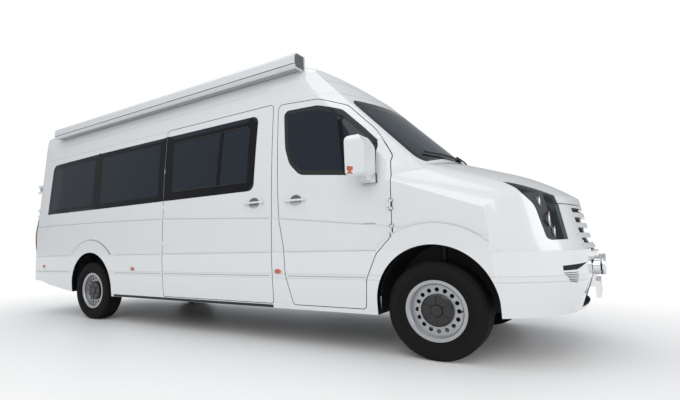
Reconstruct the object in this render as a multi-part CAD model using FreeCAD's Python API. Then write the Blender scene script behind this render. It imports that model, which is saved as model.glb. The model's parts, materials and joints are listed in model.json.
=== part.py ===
# A long, high-roofed camper van, built from its panels, glass, running gear and cab fittings.
# Sizes are in millimetres. While it is modelled, the front axle is at x = 0 and the floor at z = 0,
# with +X forward, +Y to the van's left and +Z up. The finished pieces are moved so that x = 0 is
# the middle of the overall length.

import FreeCAD, Part
import math
import os

Vector = FreeCAD.Vector

# Overall sizes
wheelbase = 4325.0
front_overhang = 1015.0
rear_overhang = 1625.0
body_half_width = 996.0
roof_crown_height = 2705.0
gutter_height = 2470.0

# Running gear
front_track = 1710.0
rear_track = 1710.0
tyre_radius = 356.0
tyre_width = 235.0
rim_radius = 203.0
kingpin_inset = 100.0
wheel_centre_height = tyre_radius

# Panels
door_thickness = 60.0
glass_thickness = 6.0
door_gap = 6.0
window_overlap = 45.0
waist_step = 5.0
crease_step = 6.0
crease_height = 800.0
panel_bottom = 345.0
sill_bottom = 303.0
front_bumper_bottom = 333.0
rear_bumper_bottom = 455.0

# Stations along the body, measured from the front axle
cab_seam = -1430.0
rear_face = -5905.0
rear_frame_seam = -5760.0
slider_rear = -2928.0

# Tail: a slightly bowed rear face and rounded corners that lean in with the flanks
tail_lean = 0.045
tail_bow = 45.0
tail_bow_at = 830.0
tail_corner_radius = 170.0
tail_corner_inset = 31.0
flank_lean = 0.085
lean_start = 1100.0

# Windscreen: a sloping, forward-bulging pane
screen_base_height = 1440.0
screen_base_front = 130.0
screen_slope = 0.9865
screen_bulge = 187.0
screen_bulge_at = 800.0
pillar_height = 1750.0
pillar_start = 815.0
pillar_end = 943.0
pillar_front = -359.8
pillar_rear = -554.0
pillar_drift = 0.038

# Roof line over the cab
roof_bend_start = -1900.0
roof_bend_end = -600.0
roof_bend_end_height = 2185.0

# Bonnet line on the centre plane
bonnet_bend_x = 433.0
bonnet_bend_height = 1398.0
bonnet_slope = 0.35
bonnet_bend_radius = 1535.0
bonnet_half_width = 795.0
bonnet_front_height = 1125.0
bonnet_thickness = 22.0

# Wheel arches
arch_radius = 436.0
arch_centre_height = 402.0
flare_radius = 590.0
liner_thickness = 6.0
front_liner_inner = 500.0
rear_liner_inner = 690.0

# Floor
floor_top = 640.0
floor_thickness = 40.0

# Towing lugs
towing_eye_radius = 20.0
towing_eye_y = 370.0
rear_towing_eye_x = -5740.0
front_towing_eye_x = 610.0

# Door hinge pins
front_hinge_x = -292.0
front_hinge_y = 990.0
rear_hinge_x = -5900.0
rear_hinge_y = 835.0

rear_axle_x = -wheelbase
overall_length = front_overhang + wheelbase + rear_overhang
to_middle = overall_length / 2 - front_overhang
front_wheel_y = front_track / 2
rear_wheel_y = rear_track / 2
kingpin_y = front_wheel_y - kingpin_inset


# Drawing helpers

def on_plane(plane, a, b, height=0.0):
    if plane == "xz":
        return Vector(a, height, b)
    if plane == "yz":
        return Vector(height, a, b)
    return Vector(a, b, height)


def plane_normal(plane):
    return {"xz": Vector(0, 1, 0), "yz": Vector(1, 0, 0), "xy": Vector(0, 0, 1)}[plane]


def rounded_wire(points, plane, height=0.0):
    """A closed outline. Each point is (a, b) or (a, b, corner radius)."""
    corners = []
    count = len(points)
    for index, point in enumerate(points):
        here = Vector(point[0], point[1], 0)
        before = Vector(*points[index - 1][:2], 0)
        after = Vector(*points[(index + 1) % count][:2], 0)
        radius = point[2] if len(point) > 2 else 0.0
        if radius <= 0:
            corners.append((here, None, here))
            continue
        to_before = (before - here).normalize()
        to_after = (after - here).normalize()
        half_angle = to_before.getAngle(to_after) / 2
        back = min(radius / math.tan(half_angle),
                   0.49 * (before - here).Length, 0.49 * (after - here).Length)
        true_radius = back * math.tan(half_angle)
        middle = (to_before + to_after).normalize()
        centre = here + middle * (true_radius / math.sin(half_angle))
        corners.append((here + to_before * back, centre - middle * true_radius,
                        here + to_after * back))
    edges = []

    def placed(point):
        return on_plane(plane, point.x, point.y, height)

    for index, (start, middle, end) in enumerate(corners):
        if middle is not None:
            edges.append(Part.Arc(placed(start), placed(middle), placed(end)).toShape())
        following = corners[(index + 1) % count][0]
        if (following - end).Length > 1e-6:
            edges.append(Part.LineSegment(placed(end), placed(following)).toShape())
    return Part.Wire(edges)


def slab(points, plane, low, high):
    """The outline, filled and pushed from low to high along the plane's normal."""
    face = Part.Face(rounded_wire(points, plane, low))
    return face.extrude(plane_normal(plane) * (high - low))


def grown_slab(points, plane, low, high, growth):
    """The same, with the outline grown outwards all round."""
    wire = rounded_wire(points, plane, low).makeOffset2D(growth, 2)
    return Part.Face(wire).extrude(plane_normal(plane) * (high - low))


def box(x0, x1, y0, y1, z0, z1):
    low_y = min(y0, y1)
    return Part.makeBox(x1 - x0, abs(y1 - y0), z1 - z0, Vector(x0, low_y, z0))


def rod(x, y, z, radius, length, axis):
    """A cylinder whose middle is at the given point."""
    axis = Vector(*axis)
    start = Vector(x, y, z) - axis * (length / 2)
    return Part.makeCylinder(radius, length, start, axis)


def mirrored(shape):
    """The same piece on the other side of the van."""
    return shape.mirror(Vector(0, 0, 0), Vector(0, 1, 0))


def both_sides(shape):
    return Part.makeCompound([shape, mirrored(shape)])


def joined(shapes):
    first = shapes[0]
    if len(shapes) == 1:
        return first
    return first.fuse(shapes[1:]).removeSplitter()


def arc(a, b, c):
    return Part.Arc(a, b, c).toShape()


def line(a, b):
    return Part.LineSegment(a, b).toShape()


# The body's outer volume, inset evenly for the inner walls

def body_section(inset):
    """The upright section across the body: curved flanks, a gutter shoulder and a crowned roof."""
    foot = Vector(0, body_half_width - 40 - inset, 250)
    flank = Vector(0, body_half_width - 17 - inset, 570)
    crease = Vector(0, body_half_width - 11 - inset, crease_height)
    waist = Vector(0, body_half_width - 18 - inset, lean_start)
    window = Vector(0, body_half_width - 51 - inset, 1700)
    cant = Vector(0, body_half_width - 103 - inset, 2190)
    ridge = Vector(0, body_half_width - 131 - inset, 2350)
    gutter = Vector(0, body_half_width - 163 - inset, gutter_height)
    shoulder = Vector(0, 770 - inset * 0.8, 2566 - inset * 0.6)
    crown_edge = Vector(0, 650 - inset * 0.4, 2632 - inset)
    crown = Vector(0, 0, roof_crown_height - inset)

    def other(point):
        return Vector(0, -point.y, point.z)

    half = [(arc, foot, flank, crease), (line, crease, waist), (arc, waist, window, cant),
            (line, cant, ridge), (line, ridge, gutter), (arc, gutter, shoulder, crown_edge)]
    edges = [draw(*points) for draw, *points in half]
    edges.append(arc(crown_edge, crown, other(crown_edge)))
    edges += [draw(*[other(p) for p in reversed(points)]) for draw, *points in reversed(half)]
    edges.append(line(other(foot), foot))
    return Part.Face(Part.Wire(edges))


def roof_bend():
    """The radius and centre of the roof line's bend over the cab."""
    drop = roof_crown_height - roof_bend_end_height
    run = roof_bend_end - roof_bend_start
    radius = (run * run + drop * drop) / (2 * drop)
    return radius, Vector(roof_bend_start, 0, roof_crown_height - radius)


def side_limits(inset):
    """What the body holds seen from the side: the roof line and the tail's top corner."""
    radius, centre = roof_bend()
    inner_radius = radius - inset

    def on_roof(x):
        return Vector(x, 0, centre.z + math.sqrt(inner_radius ** 2 - (x - centre.x) ** 2))

    top = roof_crown_height - inset
    bend_start = Vector(roof_bend_start, 0, top)
    bend_end = on_roof(roof_bend_end - inset)
    tail_top = Vector(rear_face + 350, 0, top)
    tail_side = Vector(rear_face + 62 + inset, 0, 2370)
    tail_middle = Vector(rear_face + 165 + inset * 0.7, 0, roof_crown_height - 100 - inset * 0.7)
    front = 1500
    back = rear_face - 200
    edges = [
        arc(tail_side, tail_middle, tail_top),
        line(tail_top, bend_start),
        arc(bend_start, on_roof((roof_bend_start + roof_bend_end) / 2), bend_end),
        line(bend_end, Vector(front, 0, bend_end.z)),
        line(Vector(front, 0, bend_end.z), Vector(front, 0, 100)),
        line(Vector(front, 0, 100), Vector(back, 0, 100)),
        line(Vector(back, 0, 100), Vector(back, 0, 2370)),
        line(Vector(back, 0, 2370), tail_side),
    ]
    face = Part.Face(Part.Wire(edges))
    face.translate(Vector(0, -1500, 0))
    return face.extrude(Vector(0, 3000, 0))


def roof_edge_cut(inset):
    """What rounds the cab roof's right edge off: a curve swung down along the roof's bend."""
    top = roof_crown_height - inset

    def at(y, height):
        return Vector(roof_bend_start, -y, top + height)

    crown = at(600 - inset * 0.3, 4)
    flank = at(885 - inset, -215)
    foot = at(1010 - inset, -420)
    outside = [at(1500, -420), at(1500, 500), at(600 - inset * 0.3, 500), crown]
    edges = [arc(crown, at(780 - inset * 0.7, -50), flank), line(flank, foot)]
    for here, after in zip([foot] + outside, outside):
        edges.append(line(here, after))
    return Part.Face(Part.Wire(edges)).revolve(roof_bend()[1], Vector(0, 1, 0), 60)


def tail_limits(inset):
    """What the body holds at the tail: a bowed rear face, then one rounded corner for each side."""
    radius = (tail_bow_at ** 2 + tail_bow ** 2) / (2 * tail_bow)
    half = 1400.0
    sag = radius - math.sqrt(radius ** 2 - half ** 2)
    rear = rear_face + inset
    edges = [
        arc(Vector(rear + sag, -half, 50), Vector(rear, 0, 50), Vector(rear + sag, half, 50)),
        line(Vector(rear + sag, half, 50), Vector(2500, half, 50)),
        line(Vector(2500, half, 50), Vector(2500, -half, 50)),
        line(Vector(2500, -half, 50), Vector(rear + sag, -half, 50)),
    ]
    bowed = Part.Face(Part.Wire(edges))
    rise = 1800.0
    lower = bowed.extrude(Vector(0, 0, lean_start - 50))
    bowed.translate(Vector(0, 0, lean_start - 50))
    limit = lower.fuse(bowed.extrude(Vector(tail_lean * rise, 0, rise)))

    side = body_half_width - tail_corner_inset - inset
    corner_radius = max(tail_corner_radius - inset, 40.0)
    centre_y = -(side - corner_radius)
    slope = math.asin(-centre_y / (radius - corner_radius))
    touch_y = centre_y - corner_radius * math.sin(slope)
    touch_x = rear + radius - math.sqrt(radius ** 2 - touch_y ** 2)
    centre_x = touch_x + corner_radius * math.cos(slope)
    half_turn = (math.pi / 2 + slope) / 2

    def on_corner(angle):
        return Vector(centre_x - corner_radius * math.cos(angle),
                      centre_y - corner_radius * math.sin(angle), 50)

    start = on_corner(slope)
    end = on_corner(math.pi / 2)
    across = 1400.0 - touch_y
    far = Vector(touch_x - across * math.tan(slope), 1400, 50)
    wide = Vector(-5000, -(body_half_width + 8 - inset), 50)
    front = Vector(2500, -(body_half_width + 60), 50)
    edges = [
        arc(start, on_corner(half_turn), end),
        line(end, wide),
        line(wide, front),
        line(front, Vector(2500, 1400, 50)),
        line(Vector(2500, 1400, 50), far),
        line(far, start),
    ]
    plan = Part.Face(Part.Wire(edges))
    lower = plan.extrude(Vector(0, 0, lean_start - 50))
    plan.translate(Vector(0, 0, lean_start - 50))
    corner = lower.fuse(plan.extrude(Vector(tail_lean * rise, flank_lean * rise, rise)))
    return limit.common(corner).common(mirrored(corner))


def screen_limits(inset):
    """Everything behind the sloping windscreen's surface and the bevelled pillars beside it."""
    radius = (screen_bulge_at ** 2 + screen_bulge ** 2) / (2 * screen_bulge)
    half = 1150.0
    sag = radius - math.sqrt(radius ** 2 - half ** 2)
    setback = inset * math.sqrt(1 + screen_slope ** 2)
    front = screen_base_front + screen_base_height * screen_slope - setback
    edges = [
        arc(Vector(front - sag, -half, 0), Vector(front, 0, 0), Vector(front - sag, half, 0)),
        line(Vector(front - sag, half, 0), Vector(-8000, half, 0)),
        line(Vector(-8000, half, 0), Vector(-8000, -half, 0)),
        line(Vector(-8000, -half, 0), Vector(front - sag, -half, 0)),
    ]
    behind = Part.Face(Part.Wire(edges)).extrude(Vector(-screen_slope * 2900, 0, 2900))
    behind = behind.common(box(-7000, 420, -1300, 1300, 100, 2890))
    turn_start = (-340.0, body_half_width - 22 - inset)
    turn_end = (160.0, 770.0 - inset)
    corner = slab([turn_start, turn_end, (420, 660), (420, 1300), (-340, 1300)], "xy", 100, 2890)
    bevel = pillar_cut(inset, setback)
    return behind.cut([corner, mirrored(corner), bevel, mirrored(bevel)])


def pillar_cut(inset, setback):
    """What bevels the edge between windscreen and flank on the right, all the way up the pillar."""
    edge = Vector(pillar_front - 0.83 * setback, -(pillar_start - 0.37 * setback), pillar_height)
    flank = Vector(pillar_rear, -(pillar_end - inset), pillar_height)
    slant = (flank - edge).normalize() * 150
    wide = -1250
    points = [edge - slant, flank + slant, Vector((flank + slant).x, wide, pillar_height),
              Vector((edge - slant).x + 120, wide, pillar_height),
              (edge - slant) + Vector(120, 0, 0)]
    face = Part.Face(Part.makePolygon(points + points[:1]))
    along = Vector(-(screen_slope - pillar_drift), flank_lean, 1)
    face.translate(along * -500)
    return face.extrude(along * 1450)


def bonnet_cut(inset):
    """Everything above the bonnet and wing tops: a crowned section carried along the bonnet line."""
    crown_radius = 2964.0
    crown_half = 740.0
    shoulder_radius = 340.0
    slope_angle = math.atan(bonnet_slope)
    crown_drop = crown_radius - math.sqrt(crown_radius ** 2 - crown_half ** 2)
    start_angle = math.asin(crown_half / crown_radius)
    end_angle = math.radians(80)
    along = Vector(math.cos(slope_angle), 0, -math.sin(slope_angle))
    up = Vector(math.sin(slope_angle), 0, math.cos(slope_angle))
    bend = Vector(bonnet_bend_x, 0, bonnet_bend_height)

    def at(y, height):
        return bend + Vector(0, y, 0) + up * (height - inset)

    def shoulder(angle):
        y = crown_half + shoulder_radius * (math.sin(angle) - math.sin(start_angle))
        drop = crown_drop + shoulder_radius * (math.cos(start_angle) - math.cos(angle))
        return y - inset * 0.9, -drop

    edge = shoulder(start_angle)
    middle = shoulder((start_angle + end_angle) / 2)
    foot = shoulder(end_angle)
    skirt = (foot[0] + 95, foot[1] - 540)
    top = 760.0
    wide = 1500.0
    edges = [
        arc(at(-edge[0], edge[1]), at(0, 0), at(edge[0], edge[1])),
        arc(at(edge[0], edge[1]), at(middle[0], middle[1]), at(foot[0], foot[1])),
        line(at(foot[0], foot[1]), at(*skirt)),
        line(at(*skirt), at(wide, skirt[1])),
        line(at(wide, skirt[1]), at(wide, top)),
        line(at(wide, top), at(-wide, top)),
        line(at(-wide, top), at(-wide, skirt[1])),
        line(at(-wide, skirt[1]), at(-skirt[0], skirt[1])),
        line(at(-skirt[0], skirt[1]), at(-foot[0], foot[1])),
        arc(at(-foot[0], foot[1]), at(-middle[0], middle[1]), at(-edge[0], edge[1])),
    ]
    face = Part.Face(Part.Wire(edges))
    straight = face.extrude(along * -1100)
    centre = bend - up * bonnet_bend_radius
    curved = face.revolve(centre, Vector(0, 1, 0), 48)
    return straight.fuse(curved)


def nose_plan(growth, height):
    """The nose's outline from above, with its front pushed out by growth."""
    front = Vector(950 + growth, 0, height)
    front_side = Vector(905 + growth, 430, height)
    corner = Vector(752 + growth * 0.8, 770 + growth * 0.3, height)
    flank = Vector(430 + growth * 0.2, 978 + growth * 0.2, height)

    def other(point):
        return Vector(point.x, -point.y, point.z)

    back = -700.0
    wide = 1040.0
    edges = [
        arc(other(front_side), front, front_side),
        arc(front_side, corner, flank),
        line(flank, Vector(300, wide, height)),
        line(Vector(300, wide, height), Vector(back, wide, height)),
        line(Vector(back, wide, height), Vector(back, -wide, height)),
        line(Vector(back, -wide, height), Vector(300, -wide, height)),
        line(Vector(300, -wide, height), other(flank)),
        arc(other(flank), other(corner), other(front_side)),
    ]
    return Part.Face(Part.Wire(edges))


def nose_limits(inset):
    """The volume under the bonnet line and behind the leaning front."""
    bumper_top = 775.0
    bumper_middle = 600.0
    upper = nose_plan(-inset, bumper_top).extrude(Vector(-0.2 * 1000, 0, 1000))
    middle = nose_plan(18 - inset, bumper_middle).extrude(Vector(0, 0, bumper_top - bumper_middle))
    chin = nose_plan(18 - inset, bumper_middle).extrude(Vector(-0.36 * 400, 0, -400))
    return upper.fuse([middle, chin]).cut(bonnet_cut(inset))


def envelope(inset):
    section = body_section(inset)
    section.translate(Vector(-6300, 0, 0))
    tube = section.extrude(Vector(7700, 0, 0))
    edge = roof_edge_cut(inset)
    tube = tube.common(side_limits(inset)).common(tail_limits(inset)).cut(edge).cut(mirrored(edge))
    return tube.common(screen_limits(inset).fuse(nose_limits(inset)))


def below_waist():
    """The part of the flanks below the sloping waist crease."""
    line_points = [(rear_face - 300, 1228), (-4300, 1215), (-2930, 1188), (cab_seam, 1110),
                   (-546, 1012), (300, 900), (1300, 800)]
    return slab(line_points + [(1300, 0), (rear_face - 300, 0)], "xz", -1500, 1500)


def below_crease():
    """The part below the lower crease, with a round flare over each wheel."""
    low = slab([(rear_face - 300, crease_height), (1300, crease_height), (1300, 0),
                (rear_face - 300, 0)], "xz", -1500, 1500)
    flares = [rod(x, 0, arch_centre_height, flare_radius, 3000, (0, 1, 0))
              for x in (0, rear_axle_x)]
    return low.fuse(flares)



# The shell: outer volume less the inside, open below and at the wheels

def outer_volume():
    middle = envelope(-waist_step).common(below_waist())
    lower = envelope(-waist_step - crease_step).common(below_crease())
    return envelope(0).fuse([middle, lower])


def inner_volume(wall):
    """The inside: thick walls round the cab and load space, thin panels at the nose."""
    cabin = envelope(wall).common(box(rear_face - 100, nose_split, -1200, 1200, 200, 3000))
    nose = envelope(bonnet_thickness).common(box(nose_split, 1500, -1200, 1200, 200, 3000))
    return cabin.fuse(nose)


def arch_void(x, radius, inner, outer):
    """The room for one wheel, on the van's right."""
    void = rod(x, -(inner + outer) / 2, arch_centre_height, radius, outer - inner, (0, 1, 0))
    return void.fuse(box(x - radius, x + radius, -outer, -inner, 100, arch_centre_height))


def wheel_voids():
    voids = [arch_void(0, arch_radius, front_liner_inner, 1300),
             arch_void(rear_axle_x, arch_radius, rear_liner_inner, 1300)]
    return voids + [mirrored(void) for void in voids]


# Outlines, as seen from the side or from behind

front_door_outline = [(-1216, panel_bottom, 30), (-1286, 596, 300), (-1290, 790, 300),
                      (-1350, 1110, 500), (-1364, 1348, 600), (-1384, 2172, 45),
                      (-960, 2142, 200), (-716, 2052, 120), (-458, 1790, 400),
                      (-330, 1600, 60), (-293, 1540, 60), (-293, 911, 60), (-422, 777, 60),
                      (-515, 580, 150), (-535, panel_bottom, 30)]
front_window_outline = [(-1318, 2100, 50), (-1290, 1740, 300), (-1240, 1590, 160),
                        (-1130, 1478, 120), (-420, 1395, 90), (-400, 1660, 150),
                        (-540, 1815, 300), (-740, 2012, 120), (-960, 2085, 200)]
slider_outline = [(slider_rear, panel_bottom, 25), (slider_rear, 2192, 40),
                  (cab_seam - 6, 2192, 40), (cab_seam - 6, panel_bottom, 25)]
slider_window_outline = [(-2890, 1387), (-2890, 2119), (-1610, 2119, 70), (-1650, 1387, 70)]
middle_window_outline = [(-4225, 1387), (-4225, 2117), (-2970, 2119), (-2970, 1387)]
rear_window_outline = [(-5450, 1392, 12), (-5400, 2100, 90), (-4262, 2117), (-4262, 1387)]
far_window_outline = [(-2932, 1387), (-2932, 2119), (-1610, 2119, 70), (-1650, 1387, 70)]
rear_door_outline = [(5, 575, 10), (815, 575, 40), (800, 2260, 90), (5, 2260, 10)]
rear_window_pane = [(95, 1440, 45), (690, 1440, 45), (655, 2090, 60), (95, 2090, 45)]
bonnet_outline = [(-20, -735), (330, -778, 300), (435, -790, 60), (800, -640, 120), (1200, -560),
                  (1200, 560), (800, 640, 120), (435, 790, 60), (330, 778, 300), (-20, 735)]
bonnet_outline_height = 1250.0
bonnet_edge_slant = 0.5
headlamp_side = [(392, 1320), (950, 1320), (950, 852), (716, 845, 40), (655, 1090, 160), (560, 1205, 150)]
headlamp_front = [(616, 1340), (640, 840), (1000, 840), (1000, 1340)]
grille_outline = [(-462, 1087), (462, 1087), (418, 742), (-418, 742)]
lower_grille_outline = [(-425, 702), (425, 702), (375, 362), (-375, 362)]
screen_outline = [(-797, 1481, 60), (-430, 1548, 600), (430, 1548, 600), (797, 1481, 60),
                  (758, 2122, 80), (-758, 2122, 80)]
bumper_seam = 775.0
wing_rear = -546.0
wing_top = 1290.0
front_bumper_rear = 395.0
rear_bumper_top = 560.0
roof_seam = 2352.0
cab_roof_seam = 2212.0
nose_split = -150.0
scuttle_front = 104.0
door_skew = 0.12


def side_prism(outline, growth=0.0, skew=0.0, low=-1200.0, high=-600.0):
    """An outline seen from the right, pushed through the right-hand wall."""
    wire = rounded_wire(outline, "xz", low)
    if growth:
        wire = wire.makeOffset2D(growth, 2)
    start = (low + body_half_width) * skew
    wire.translate(Vector(start, 0, 0))
    reach = high - low
    return Part.Face(wire).extrude(Vector(reach * skew, reach, 0))


def end_prism(outline, x0, x1, growth=0.0):
    """An outline seen from behind, pushed along the van."""
    return grown_slab(outline, "yz", x0, x1, growth) if growth else slab(outline, "yz", x0, x1)


def bonnet_prism(growth):
    """The bonnet's room: its outline carried up and forward, the way its edges lift."""
    low = 1098 - growth
    wire = rounded_wire(bonnet_outline, "xy", low)
    if growth:
        wire = wire.makeOffset2D(growth, 2)
    wire.translate(Vector((low - bonnet_outline_height) * bonnet_edge_slant, 0, 0))
    return Part.Face(wire).extrude(Vector(bonnet_edge_slant * 500, 0, 500))


def solids_of(shape, smallest=2000.0):
    """The shape's solids, without slivers."""
    kept = [solid for solid in shape.Solids if solid.Volume > smallest]
    return Part.makeCompound(kept) if len(kept) > 1 else kept[0]


def largest(shape):
    return max(shape.Solids, key=lambda solid: solid.Volume)


def glazed(panel, skin, prisms):
    """Cut a rebated window for each prism, and give the panel and its panes."""
    panes = []
    for outline, maker in prisms:
        pane = skin.common(maker(outline, 0.0))
        panel = panel.cut(skin.common(maker(outline, 1.5)))
        panel = panel.cut(maker(outline, -window_overlap))
        panes.append(largest(pane))
    return panel, panes


# Running gear

def ring_points(y, radius, sides=64):
    """Points evenly round the Y axis, one of them straight below it."""
    turns = [2 * math.pi * k / sides for k in range(sides)]
    return [Vector(radius * math.cos(turn), y, radius * math.sin(turn)) for turn in turns]


def tyre():
    """One tyre at the origin, its axle along Y, in flat facets between rings of points."""
    half = tyre_width / 2
    clear = 1.002
    section = [(-82, rim_radius * clear), (-half, 280 * clear), (-112, 336), (-92, tyre_radius),
               (92, tyre_radius), (112, 336), (half, 280 * clear), (82, rim_radius * clear)]
    rings = [ring_points(y, radius) for y, radius in section]
    faces = []
    for ring, following in zip(rings, rings[1:] + rings[:1]):
        for k in range(len(ring)):
            corners = [ring[k - 1], ring[k], following[k], following[k - 1]]
            faces.append(Part.Face(Part.makePolygon(corners + corners[:1])))
    return Part.makeSolid(Part.makeShell(faces))


def wheel():
    """One pressed steel wheel: rim, flat disc with sixteen holes, and a slotted centre cap."""
    section = [(-82, rim_radius), (-90.76, 222), (-98, 222), (-98, 198), (-88, 190), (-46, 190),
               (-46, 119), (-70, 117), (-78, 106), (-78, 46), (-88, 40), (-88, 0), (-66, 0),
               (-66, 34), (-36, 34), (-36, 190), (90, 190), (98, 222), (90.76, 222),
               (82, rim_radius)]
    wire = Part.makePolygon([Vector(0, y, r) for y, r in section + section[:1]])
    body = Part.Face(wire).revolve(Vector(0, 0, 0), Vector(0, 1, 0), 360)
    cuts = []
    for index in range(16):
        angle = 2 * math.pi * index / 16
        cuts.append(rod(150 * math.cos(angle), -40, 150 * math.sin(angle), 16, 30, (0, 1, 0)))
    for index in range(6):
        slot = box(62, 98, -90, -71, -5, 5)
        slot.rotate(Vector(0, 0, 0), Vector(0, 1, 0), 60 * index + 30)
        cuts.append(slot)
    return body.cut(Part.makeCompound(cuts))


def placed_wheel(shape, x, side):
    """side is -1 for the right and +1 for the left."""
    piece = shape.copy() if side < 0 else mirrored(shape)
    track = front_wheel_y if x == 0 else rear_wheel_y
    piece.translate(Vector(x, side * track, wheel_centre_height))
    return piece


def knuckle():
    """The right front knuckle: upright, stub axle and brake shield."""
    z = wheel_centre_height
    upright = rod(0, -kingpin_y, z, 30, 170, (0, 0, 1))
    stub = Part.makeCylinder(33.95, 140, Vector(0, -kingpin_y - 20, z), Vector(0, -1, 0))
    shield = Part.makeCylinder(150, 12, Vector(0, -kingpin_y - 45, z), Vector(0, -1, 0))
    arm = box(-120, 0, -kingpin_y - 12, -kingpin_y + 12, z - 60, z - 36)
    body = upright.fuse([stub, shield, arm])
    return body.cut(rod(0, -kingpin_y, z, 12.05, 200, (0, 0, 1)))


def front_suspension():
    """Cross member, lower and upper arms with the steering pins, and the struts."""
    z = wheel_centre_height
    member = box(-190, 190, -400, 400, 210, 290)
    rack = rod(-260, 0, 300, 28, 900, (0, 1, 0))
    bracket = box(-270, -180, -60, 60, 250, 290)
    lower = slab([(-170, -380), (170, -380), (34, -kingpin_y, 20), (-34, -kingpin_y, 20)],
                 "xy", z - 113, z - 90)
    lower = lower.fuse(rod(0, -kingpin_y, z - 103, 34, 24, (0, 0, 1)))
    drop = box(-60, 60, -430, -380, 220, z - 90)
    upper = box(-26, 26, -kingpin_y - 20, -640, z + 90, z + 112)
    pin = rod(0, -kingpin_y, z, 12, 224, (0, 0, 1))
    strut = Part.makeCylinder(24, 400, Vector(0, -668, z + 95), Vector(0, 0.06, 1))
    side = lower.fuse([drop, upper, pin, strut])
    return joined([member, rack, bracket, side, mirrored(side)])


def rear_axle():
    z = wheel_centre_height
    beam = rod(rear_axle_x, 0, z, 48, 2 * rear_wheel_y - 80, (0, 1, 0))
    housing = rod(rear_axle_x, 0, z, 140, 150, (0, 1, 0))
    ends = []
    for side in (-1, 1):
        ends.append(rod(rear_axle_x, side * (rear_wheel_y + 5), z, 33.95, 110, (0, 1, 0)))
        ends.append(rod(rear_axle_x, side * (rear_wheel_y - 62), z, 150, 12, (0, 1, 0)))
        spring_y = side * 520
        ends.append(box(rear_axle_x - 60, rear_axle_x + 60, spring_y - 45, spring_y + 45,
                        z - 10, z + 80))
        leaf = slab([(rear_axle_x - 720, 430, 40), (rear_axle_x, 470, 900),
                     (rear_axle_x + 720, 430, 40), (rear_axle_x + 720, 402, 40),
                     (rear_axle_x, 410, 900), (rear_axle_x - 720, 402, 40)],
                    "xz", spring_y - 38, spring_y + 38)
        ends.append(leaf)
    return joined([beam, housing] + ends).cut(chassis())


def chassis():
    rails = []
    for side in (-1, 1):
        y = side * 450
        rails.append(box(-5800, -300, y - 40, y + 40, 480, floor_top - floor_thickness))
        rails.append(box(-320, 760, y - 40, y + 40, 480, 600))
        for x in (rear_axle_x - 720, rear_axle_x + 720):
            rails.append(box(x - 40, x + 40, side * 480, side * 562, 395, 560))
        rails.append(box(-150, 150, side * 330, side * 412, 290, 490))
    beams = [box(x - 40, x + 40, -420, 420, 500, 580)
             for x in (-5600, -4900, -3600, -2600, -1500, 700)]
    beams.append(box(740, 790, -560, 560, 470, 620))
    for x in (rear_towing_eye_x, front_towing_eye_x):
        lug = slab([(x - 45, 320, 30), (x + 45, 320, 30), (x + 45, 412), (x - 45, 412)],
                   "xy", 485, 515)
        beams.append(lug.cut(rod(x, towing_eye_y, 500, towing_eye_radius, 60, (0, 0, 1))))
    return joined(rails + beams)


def engine():
    block = box(120, 660, -300, 300, 500, 1000)
    sump = box(230, 560, -200, 200, 320, 500)
    gearbox = box(-620, 119.7, -190, 190, 330, 590)
    shaft = Part.makeCylinder(45, 3510, Vector(-620.3, 0, 440), Vector(-1, 0, -0.022))
    return Part.makeCompound([joined([block, sump]), gearbox, shaft])


def exhaust_and_tank():
    pipe = Part.makeCylinder(32, 2700, Vector(-700, -280, 395), Vector(-1, 0, 0))
    silencer = Part.makeCylinder(95, 700, Vector(-2200, -280, 395), Vector(-1, 0, 0))
    hangers = [box(-2610, -2590, -290, -270, 480, 500), box(-1510, -1490, -290, -270, 410, 500)]
    tank = slab([(-2650, 250, 60), (-1480, 250, 60), (-1480, 500), (-2650, 500)], "xz", 90, 400)
    return pipe.fuse([silencer] + hangers), tank


def wheel_liners():
    rings = []
    for x, inner in ((0, front_liner_inner), (rear_axle_x, rear_liner_inner)):
        solid = arch_void(x, arch_radius + 2 + liner_thickness, inner - liner_thickness, 1000)
        space = arch_void(x, arch_radius + 2, inner, 1010)
        rings.append(solid.cut(space).common(box(x - 700, x + 700, -1000, -400, sill_bottom, 900)))
    passages = [rod(rear_axle_x, -700, wheel_centre_height, 62, 200, (0, 1, 0)), front_suspension()]
    under_bumper = box(350, 1000, -1200, 1200, 0, front_bumper_bottom + 8)
    return rings[0].fuse(rings[1]).cut(passages + [under_bumper])


def cushion(x0, x1, y0, y1, z0, z1, radius, plane):
    """A block with four edges rounded, seen along the plane's normal."""
    spans = {"xz": ((x0, x1), (z0, z1), (y0, y1)), "yz": ((y0, y1), (z0, z1), (x0, x1)),
             "xy": ((x0, x1), (y0, y1), (z0, z1))}
    across, up, through = spans[plane]
    outline = [(across[0], up[0], radius), (across[1], up[0], radius),
               (across[1], up[1], radius), (across[0], up[1], radius)]
    return slab(outline, plane, *through)


def front_lamps():
    """Four round driving lamps, two at each side of the lower opening, and a blank plate holder."""
    pieces = []
    for y in (-300, -140, 140, 300):
        lamp = Part.makeCylinder(62, 110, Vector(front_overhang - 110, y, 655), Vector(1, 0, 0))
        stem = box(front_overhang - 140, front_overhang - 70, y - 20, y + 20, 570, 620)
        pieces.append(lamp.fuse(stem))
    bar = box(front_overhang - 140, front_overhang - 70, -330, 330, 565, 590)
    plate = box(front_overhang - 70, front_overhang - 40, -265, 265, 420, 540)
    post = box(front_overhang - 140, front_overhang - 60, -60, 60, 480, 580)
    return joined(pieces + [bar, plate, post])


def cab_seat(y):
    """A captain's seat on its box, facing forward."""
    base = box(-1290, -850, y - 210, y + 210, floor_top, 860)
    seat = cushion(-1330, -790, y - 245, y + 245, 850, 1010, 60, "xz")
    back = cushion(-1400, -1260, y - 240, y + 240, 940, 1560, 80, "yz")
    head = cushion(-1390, -1290, y - 130, y + 130, 1550, 1770, 60, "yz")
    return base.fuse([seat, back, head])


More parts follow.
